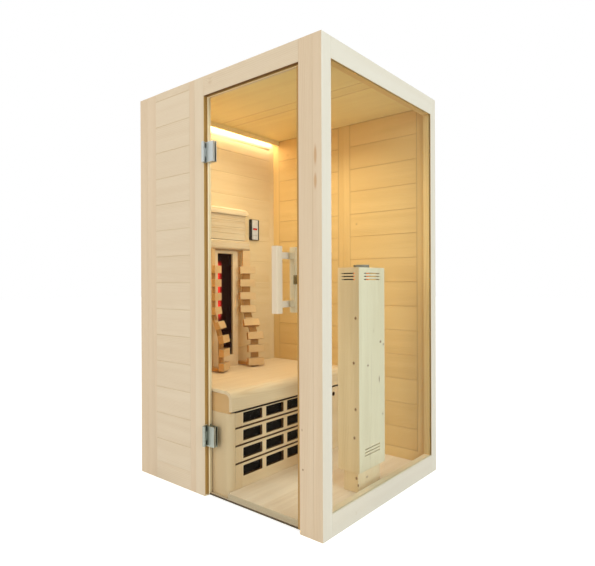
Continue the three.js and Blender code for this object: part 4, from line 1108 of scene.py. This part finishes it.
# %% Frame, headrest and spine blocks
frame_low, frame_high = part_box("emitter_glass")
piece = clad(eased("emitter_frame", timber_edge), timber("rest", "ZYX"))
rails(piece, 1, frame_low.y, frame_high.y, timber("rest", "YZX"))
head_boards = timber("head", "YZX", (1.191, 0.0605))
for name, radius in (("headrest_lower_cap", 0.005), ("headrest_body", 0.0014), ("headrest_top_roll", 0.009)):
    clad(eased(name, radius, 4, 30.0), head_boards)
block_pitch = 0.0775
block_middle = 0.5305
block_half = 0.0235
for name in ("left_spine_rest", "right_spine_rest"):
    blocks = timber("block", "YZX", (block_middle - block_pitch / 2, block_pitch))
    spine = clad(eased(name, 0.0026, 3, 30.0), blocks, timber("lath_painted_shade", "ZYX"), timber("block_side_painted_shade", "XZY"))
    # Block sides turned to the door take a deeper orange, and the lath that shows between the blocks takes a
    # dark orange: painted shade.
    for face in spine.data.polygons:
        if face.normal.y < -0.8:
            face.material_index = 2
        step = (face.center.z - block_middle) / block_pitch
        if abs(step - round(step)) * block_pitch > block_half and face.center.z < 1.10:
            face.material_index = 1
print("backrest dressed")

# %% [markdown]
# ## Control panel
# A black box on the wall with a pale strip down its middle, a small red display and three buttons.
# The digits are seven-segment bars: each bar is modelled with pointed ends where a digit needs it,
# and the bars are joined.

# %% Panel bodies and display
clad(eased("control_housing", 0.0020, 3), black_plastic)
clad(eased("control_fascia", 0.0005), grey_plastic)
for name in ("minus_button", "power_button", "plus_button"):
    clad(eased(name, 0.0006, 3), grey_plastic)
display_glass, tree, shader, place = new_finish("display_window")
cloud = noise(tree, place, (60.0, 60.0, 60.0), 2.0)
put(tree, blended(tree, cloud, srgb("1C0605"), srgb("2A0A08")), shader.inputs["Base Color"])
put(tree, fade(tree, cloud, 0.3, 0.7, 0.10, 0.20), shader.inputs["Roughness"])
clad(eased("control_display", 0.0003), display_glass)
print("control panel dressed")

# %% Seven-segment digits
lit_red, tree, shader, place = new_finish("lit_red_segment")
cloud = noise(tree, place, (400.0, 400.0, 400.0), 2.0)
put(tree, blended(tree, cloud, srgb("D8261C"), srgb("F04034")), shader.inputs["Base Color"])
put(tree, blended(tree, cloud, (0.9, 0.03, 0.02, 1.0), (1.0, 0.07, 0.05, 1.0)), shader.inputs["Emission Color"])
shader.inputs["Emission Strength"].default_value = 1.6
display_low, display_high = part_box("control_display")
digit_width = 0.0056
digit_height = 0.0088
bar_thickness = 0.0012
bar_relief = 0.0004
segments_of = {"0": "abcdef", "3": "abcdg", "5": "acdfg", "8": "abcdefg"}
segment_place = {
    "a": (0.0, 0.5, True), "b": (0.5, 0.25, False), "c": (0.5, -0.25, False), "d": (0.0, -0.5, True),
    "e": (-0.5, -0.25, False), "f": (-0.5, 0.25, False), "g": (0.0, 0.0, True),
}


def segment_bar(length, centre, level):
    """One lit bar: a thin box whose two ends are drawn to a point."""
    start_fresh()
    bpy.ops.mesh.primitive_cube_add(size=1.0, location=centre)
    bar = bpy.context.object
    bar.scale = (bar_relief, length, bar_thickness) if level else (bar_relief, bar_thickness, length)
    settle(bar)
    axis = 1 if level else 2
    pick_faces(bar, lambda face: abs(face.normal[axis]) > 0.9)
    squeeze = (1.0, 1.0, 0.25) if level else (1.0, 0.25, 1.0)
    bpy.ops.mesh.extrude_region_move(TRANSFORM_OT_translate={"value": (0.0, 0.0, 0.0)})
    bpy.ops.transform.resize(value=squeeze)
    grow = (1.0, 1.0 + bar_thickness / length, 1.0) if level else (1.0, 1.0, 1.0 + bar_thickness / length)
    bpy.ops.transform.resize(value=grow, center_override=centre)
    bpy.ops.object.mode_set(mode="OBJECT")
    return bar


bars = []
middle_y = (display_low.y + display_high.y) / 2
middle_z = (display_low.z + display_high.z) / 2
for place_index, digit in enumerate("5830"):
    digit_y = middle_y + (place_index - 1.5) * 0.0082
    for letter in segments_of[digit]:
        side, height, is_level = segment_place[letter]
        centre = (
            display_high.x + bar_relief / 2 - 0.0001,
            digit_y + side * digit_width,
            middle_z + height * digit_height,
        )
        reach = digit_width if is_level else digit_height / 2
        bars.append(segment_bar(reach - 2.2 * bar_thickness, centre, is_level))
start_fresh()
for bar in bars:
    bar.select_set(True)
bpy.context.view_layer.objects.active = bars[0]
bpy.ops.object.join()
digits = clad(bpy.context.object, lit_red)
belongs(settle(digits), "display_digits", "cabin")
print("digits have", len(digits.data.polygons), "faces")

# %% Marks on the buttons
def button_mark(button, shapes, ring):
    """Raised marks on the front of a button: level and upright bars, and a ring open at its top."""
    low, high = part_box(button)
    spot = (high.x + bar_relief / 2 - 0.0001, (low.y + high.y) / 2, (low.z + high.z) / 2)
    made = []
    for is_level, length, rise in shapes:
        made.append(segment_bar(length, (spot[0], spot[1], spot[2] + rise), is_level))
    if ring:
        start_fresh()
        bpy.ops.mesh.primitive_torus_add(
            major_segments=24, minor_segments=6, major_radius=0.0024, minor_radius=0.0004,
            location=spot, rotation=(0.0, math.pi / 2, 0.0))
        loop = settle(bpy.context.object)
        pick_faces(loop, lambda face: abs(face.center.y - spot[1]) < 0.0010 and face.center.z > spot[2])
        bpy.ops.mesh.delete(type="FACE")
        bpy.ops.mesh.select_all(action="SELECT")
        bpy.ops.mesh.fill_holes(sides=0)
        bpy.ops.object.mode_set(mode="OBJECT")
        made.append(loop)
    start_fresh()
    for piece in made:
        piece.select_set(True)
    bpy.context.view_layer.objects.active = made[0]
    if len(made) > 1:
        bpy.ops.object.join()
    mark = clad(settle(bpy.context.object), black_plastic)
    return belongs(mark, f"{button}_mark", f"{button}_body")


button_mark("minus_button", [(True, 0.0036, 0.0)], False)
button_mark("plus_button", [(True, 0.0036, 0.0), (False, 0.0036, 0.0)], False)
button_mark("power_button", [(False, 0.0016, 0.0020)], True)
print("buttons are marked")

# %% [markdown]
# ## Heater tower
# A slim box of knotty boards stands on a plinth. Air slots near the top let out an orange glow from
# the quartz tubes inside, and an aroma dish sits on the top. The tubes are drawn-out cylinders with
# rounded ends.

# %% Tower boards
pin = (0.008, 0.008, 0.010)
tower_marks = (
    ((0.4946, -0.0835, 0.834), pin, 0.95),
    ((0.4840, -0.0835, 0.630), pin, 0.95),
    ((0.4928, -0.0835, 0.421), pin, 0.90),
    ((0.4863, -0.0835, 0.291), pin, 0.90),
    ((0.5090, 0.1034, 0.713), (0.02, 0.012, 0.009), 0.85),
    ((0.5090, 0.1300, 0.698), (0.02, 0.008, 0.008), 0.70),
    ((0.5090, -0.0091, 0.613), (0.02, 0.008, 0.008), 0.95),
    ((0.5090, 0.0911, 0.536), (0.02, 0.006, 0.024), 0.80),
    ((0.5090, 0.0228, 0.560), (0.02, 0.0022, 0.200), 0.30),
)
plinth_marks = (
    ((0.4840, -0.0645, 0.102), pin, 0.90),
    ((0.4950, -0.0645, 0.071), pin, 0.85),
    ((0.4900, 0.0100, 0.090), (0.02, 0.014, 0.007), 0.45),
)
# Faces turned along Y take a warmer, darker copy of the tone: painted shade on the sides.
# The plinth's tone is paler than the tower's: painted light on a plinth that stands in the shade of the
# carcass.
for name, tone, marks in (("tower_carcass", "tower", tower_marks), ("tower_plinth", "plinth", plinth_marks)):
    shaded_side_boards = timber("tower_near", "ZXY", None, marks)
    box = clad(eased(name, timber_edge), timber(tone, "ZYX", None, marks), shaded_side_boards)
    # Faces inside the box take a near-black tone: painted shade in the hollow seen through the slots.
    box.data.materials.append(timber("tower_inside_painted_shade", "ZXY"))
    low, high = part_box(name)
    for face in box.data.polygons:
        if abs(face.normal.y) > 0.7:
            face.material_index = 1
        inner = [low[axis] + 0.016 < face.center[axis] < high[axis] - 0.016 for axis in (0, 1)]
        if all(inner) and low.z + 0.016 < face.center.z < high.z - 0.016:
            face.material_index = 2
print("tower dressed")

# %% Glowing tubes inside the tower
hot_quartz, tree, shader, place = new_finish("hot_quartz")
coil = noise(tree, place, (40.0, 40.0, 260.0), 1.0)
put(tree, blended(tree, coil, srgb("D06A1E"), srgb("FFC078")), shader.inputs["Base Color"])
put(tree, blended(tree, coil, (1.0, 0.14, 0.02, 1.0), (1.0, 0.30, 0.06, 1.0)), shader.inputs["Emission Color"])
shader.inputs["Emission Strength"].default_value = 0.6
shader.inputs["Roughness"].default_value = 0.2
tower_low, tower_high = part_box("tower_carcass")
tower_middle = (tower_low + tower_high) / 2


def quartz_tube(name, y):
    """A long tube with domed ends, held between the top and bottom boards."""
    start_fresh()
    low, high = tower_low.z + 0.018, tower_high.z - 0.019
    bpy.ops.mesh.primitive_cylinder_add(
        vertices=20, radius=0.007, depth=high - low, location=(tower_middle.x, y, (low + high) / 2))
    tube = settle(bpy.context.object)
    pick_faces(tube, lambda face: abs(face.normal.z) > 0.9)
    bpy.ops.mesh.inset(thickness=0.002)
    bpy.ops.mesh.inset(thickness=0.003)
    bpy.ops.object.mode_set(mode="OBJECT")
    softer = tube.modifiers.new("domed ends", "BEVEL")
    softer.width = 0.002
    softer.segments = 3
    bpy.ops.object.modifier_apply(modifier=softer.name)
    even_shading(tube, 50.0)
    return belongs(clad(tube, hot_quartz), name, "cabin")


for name, y in (("tower_near_tube", tower_middle.y - 0.055), ("tower_far_tube", tower_middle.y + 0.055)):
    tube = quartz_tube(name, y)
    print(name, "has", len(tube.data.polygons), "faces")

# %% [markdown]
# ## Light strip
# A warm strip hides behind the valance and washes the lining from above. The strip itself glows, and
# an area lamp just below it carries the light, because a lamp gives less noise than a bright mesh.

# %% Light strip and its lamp
warm_strip, tree, shader, place = new_finish("warm_light_strip")
dots = noise(tree, place, (20.0, 60.0, 20.0), 1.0)
put(tree, blended(tree, dots, srgb("FFE9C4"), srgb("FFF4DC")), shader.inputs["Base Color"])
put(tree, blended(tree, dots, (1.0, 0.84, 0.60, 1.0), (1.0, 0.90, 0.72, 1.0)), shader.inputs["Emission Color"])
shader.inputs["Emission Strength"].default_value = 6.0
clad(eased("light_strip", 0.0008), warm_strip)
strip_low, strip_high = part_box("light_strip")


def lamp(name, place, target, width, height, watts, tint):
    """A soft rectangular lamp, turned towards a point."""
    start_fresh()
    bpy.ops.object.light_add(type="AREA", location=place)
    light = bpy.context.object
    light.name = name
    light.data.shape = "RECTANGLE"
    light.data.size = width
    light.data.size_y = height
    light.data.energy = watts
    light.data.color = tint
    aim = Vector(target) - Vector(place)
    if aim.length:
        light.rotation_euler = aim.to_track_quat("-Z", "Y").to_euler()
    light.visible_camera = False
    light.visible_glossy = False
    light.visible_transmission = False
    return light


strip_middle = (strip_low + strip_high) / 2
below = (strip_middle.x, strip_middle.y, strip_low.z - 0.001)
glow = lamp("strip_glow", below, below, 0.012, 0.86, 0.8, (1.0, 0.97, 0.86))
glow.rotation_euler = (0.0, math.radians(-12.0), 0.0)
glow.data.spread = math.radians(120.0)
wash = lamp("strip_wash", below, below, 0.012, 0.86, 2.2, (1.0, 0.97, 0.86))
wash.rotation_euler = (0.0, math.radians(50.0), 0.0)
fill = lamp("cabin_fill", (-0.02, -0.06, 1.87), (-0.02, -0.06, 0.0), 0.45, 0.40, 4.3, (1.0, 0.95, 0.80))
fill.data.spread = math.radians(155.0)
print("strip lamp at", [round(value, 3) for value in below])

# %% [markdown]
# ## Studio
# A pale floor, soft lamps and a white surround. For camera, mirror and glass rays the surround is
# plain white; for the light it gives, it is weaker, so the wood renders about as its colour is
# written. The floor has a share of white of its own and still takes the cabin's soft shadow.

# %% Floor and surround
def looked_at(tree):
    """1 for what the camera sees straight, in a mirror or through glass, before any matt surface."""
    rays = tree.nodes.new("ShaderNodeLightPath")
    seen = maths(tree, "MAXIMUM", rays.outputs["Is Camera Ray"], rays.outputs["Is Glossy Ray"])
    seen = maths(tree, "MAXIMUM", seen, rays.outputs["Is Transmission Ray"])
    return maths(tree, "MULTIPLY", seen, maths(tree, "LESS_THAN", rays.outputs["Diffuse Depth"], 0.5))


start_fresh()
bpy.ops.mesh.primitive_plane_add(size=60.0, location=(0.0, 0.0, 0.0))
studio_floor = bpy.context.object
studio_floor.name = "studio_floor"
floor_finish, tree, shader, place = new_finish("studio_floor")
shader.inputs["Base Color"].default_value = (0.75, 0.75, 0.74, 1.0)
shader.inputs["Roughness"].default_value = 0.9
shader.inputs["Specular IOR Level"].default_value = 0.0
put(tree, maths(tree, "MULTIPLY", looked_at(tree), 0.70), shader.inputs["Emission Strength"])
shader.inputs["Emission Color"].default_value = (1.0, 1.0, 1.0, 1.0)
clad(studio_floor, floor_finish)

surround = bpy.data.worlds.new("studio_surround")
scene.world = surround
surround.use_nodes = True
tree = surround.node_tree
backdrop = tree.nodes["Background"]
backdrop.inputs["Color"].default_value = (1.0, 1.0, 1.0, 1.0)
put(tree, fade(tree, looked_at(tree), 0.0, 1.0, 0.58, 1.0), backdrop.inputs["Strength"])
print("floor and surround are ready")

# %% Studio lamps
lamp("window_side_lamp", (4.6, -0.6, 2.6), (0.6, 0.0, 1.0), 3.0, 3.0, 120.0, (0.73, 0.89, 1.0))
lamp("door_side_lamp", (-0.8, -5.0, 2.4), (0.0, -0.4, 1.0), 3.0, 3.0, 76.0, (1.0, 0.97, 0.95))
scene.view_settings.view_transform = "Standard"
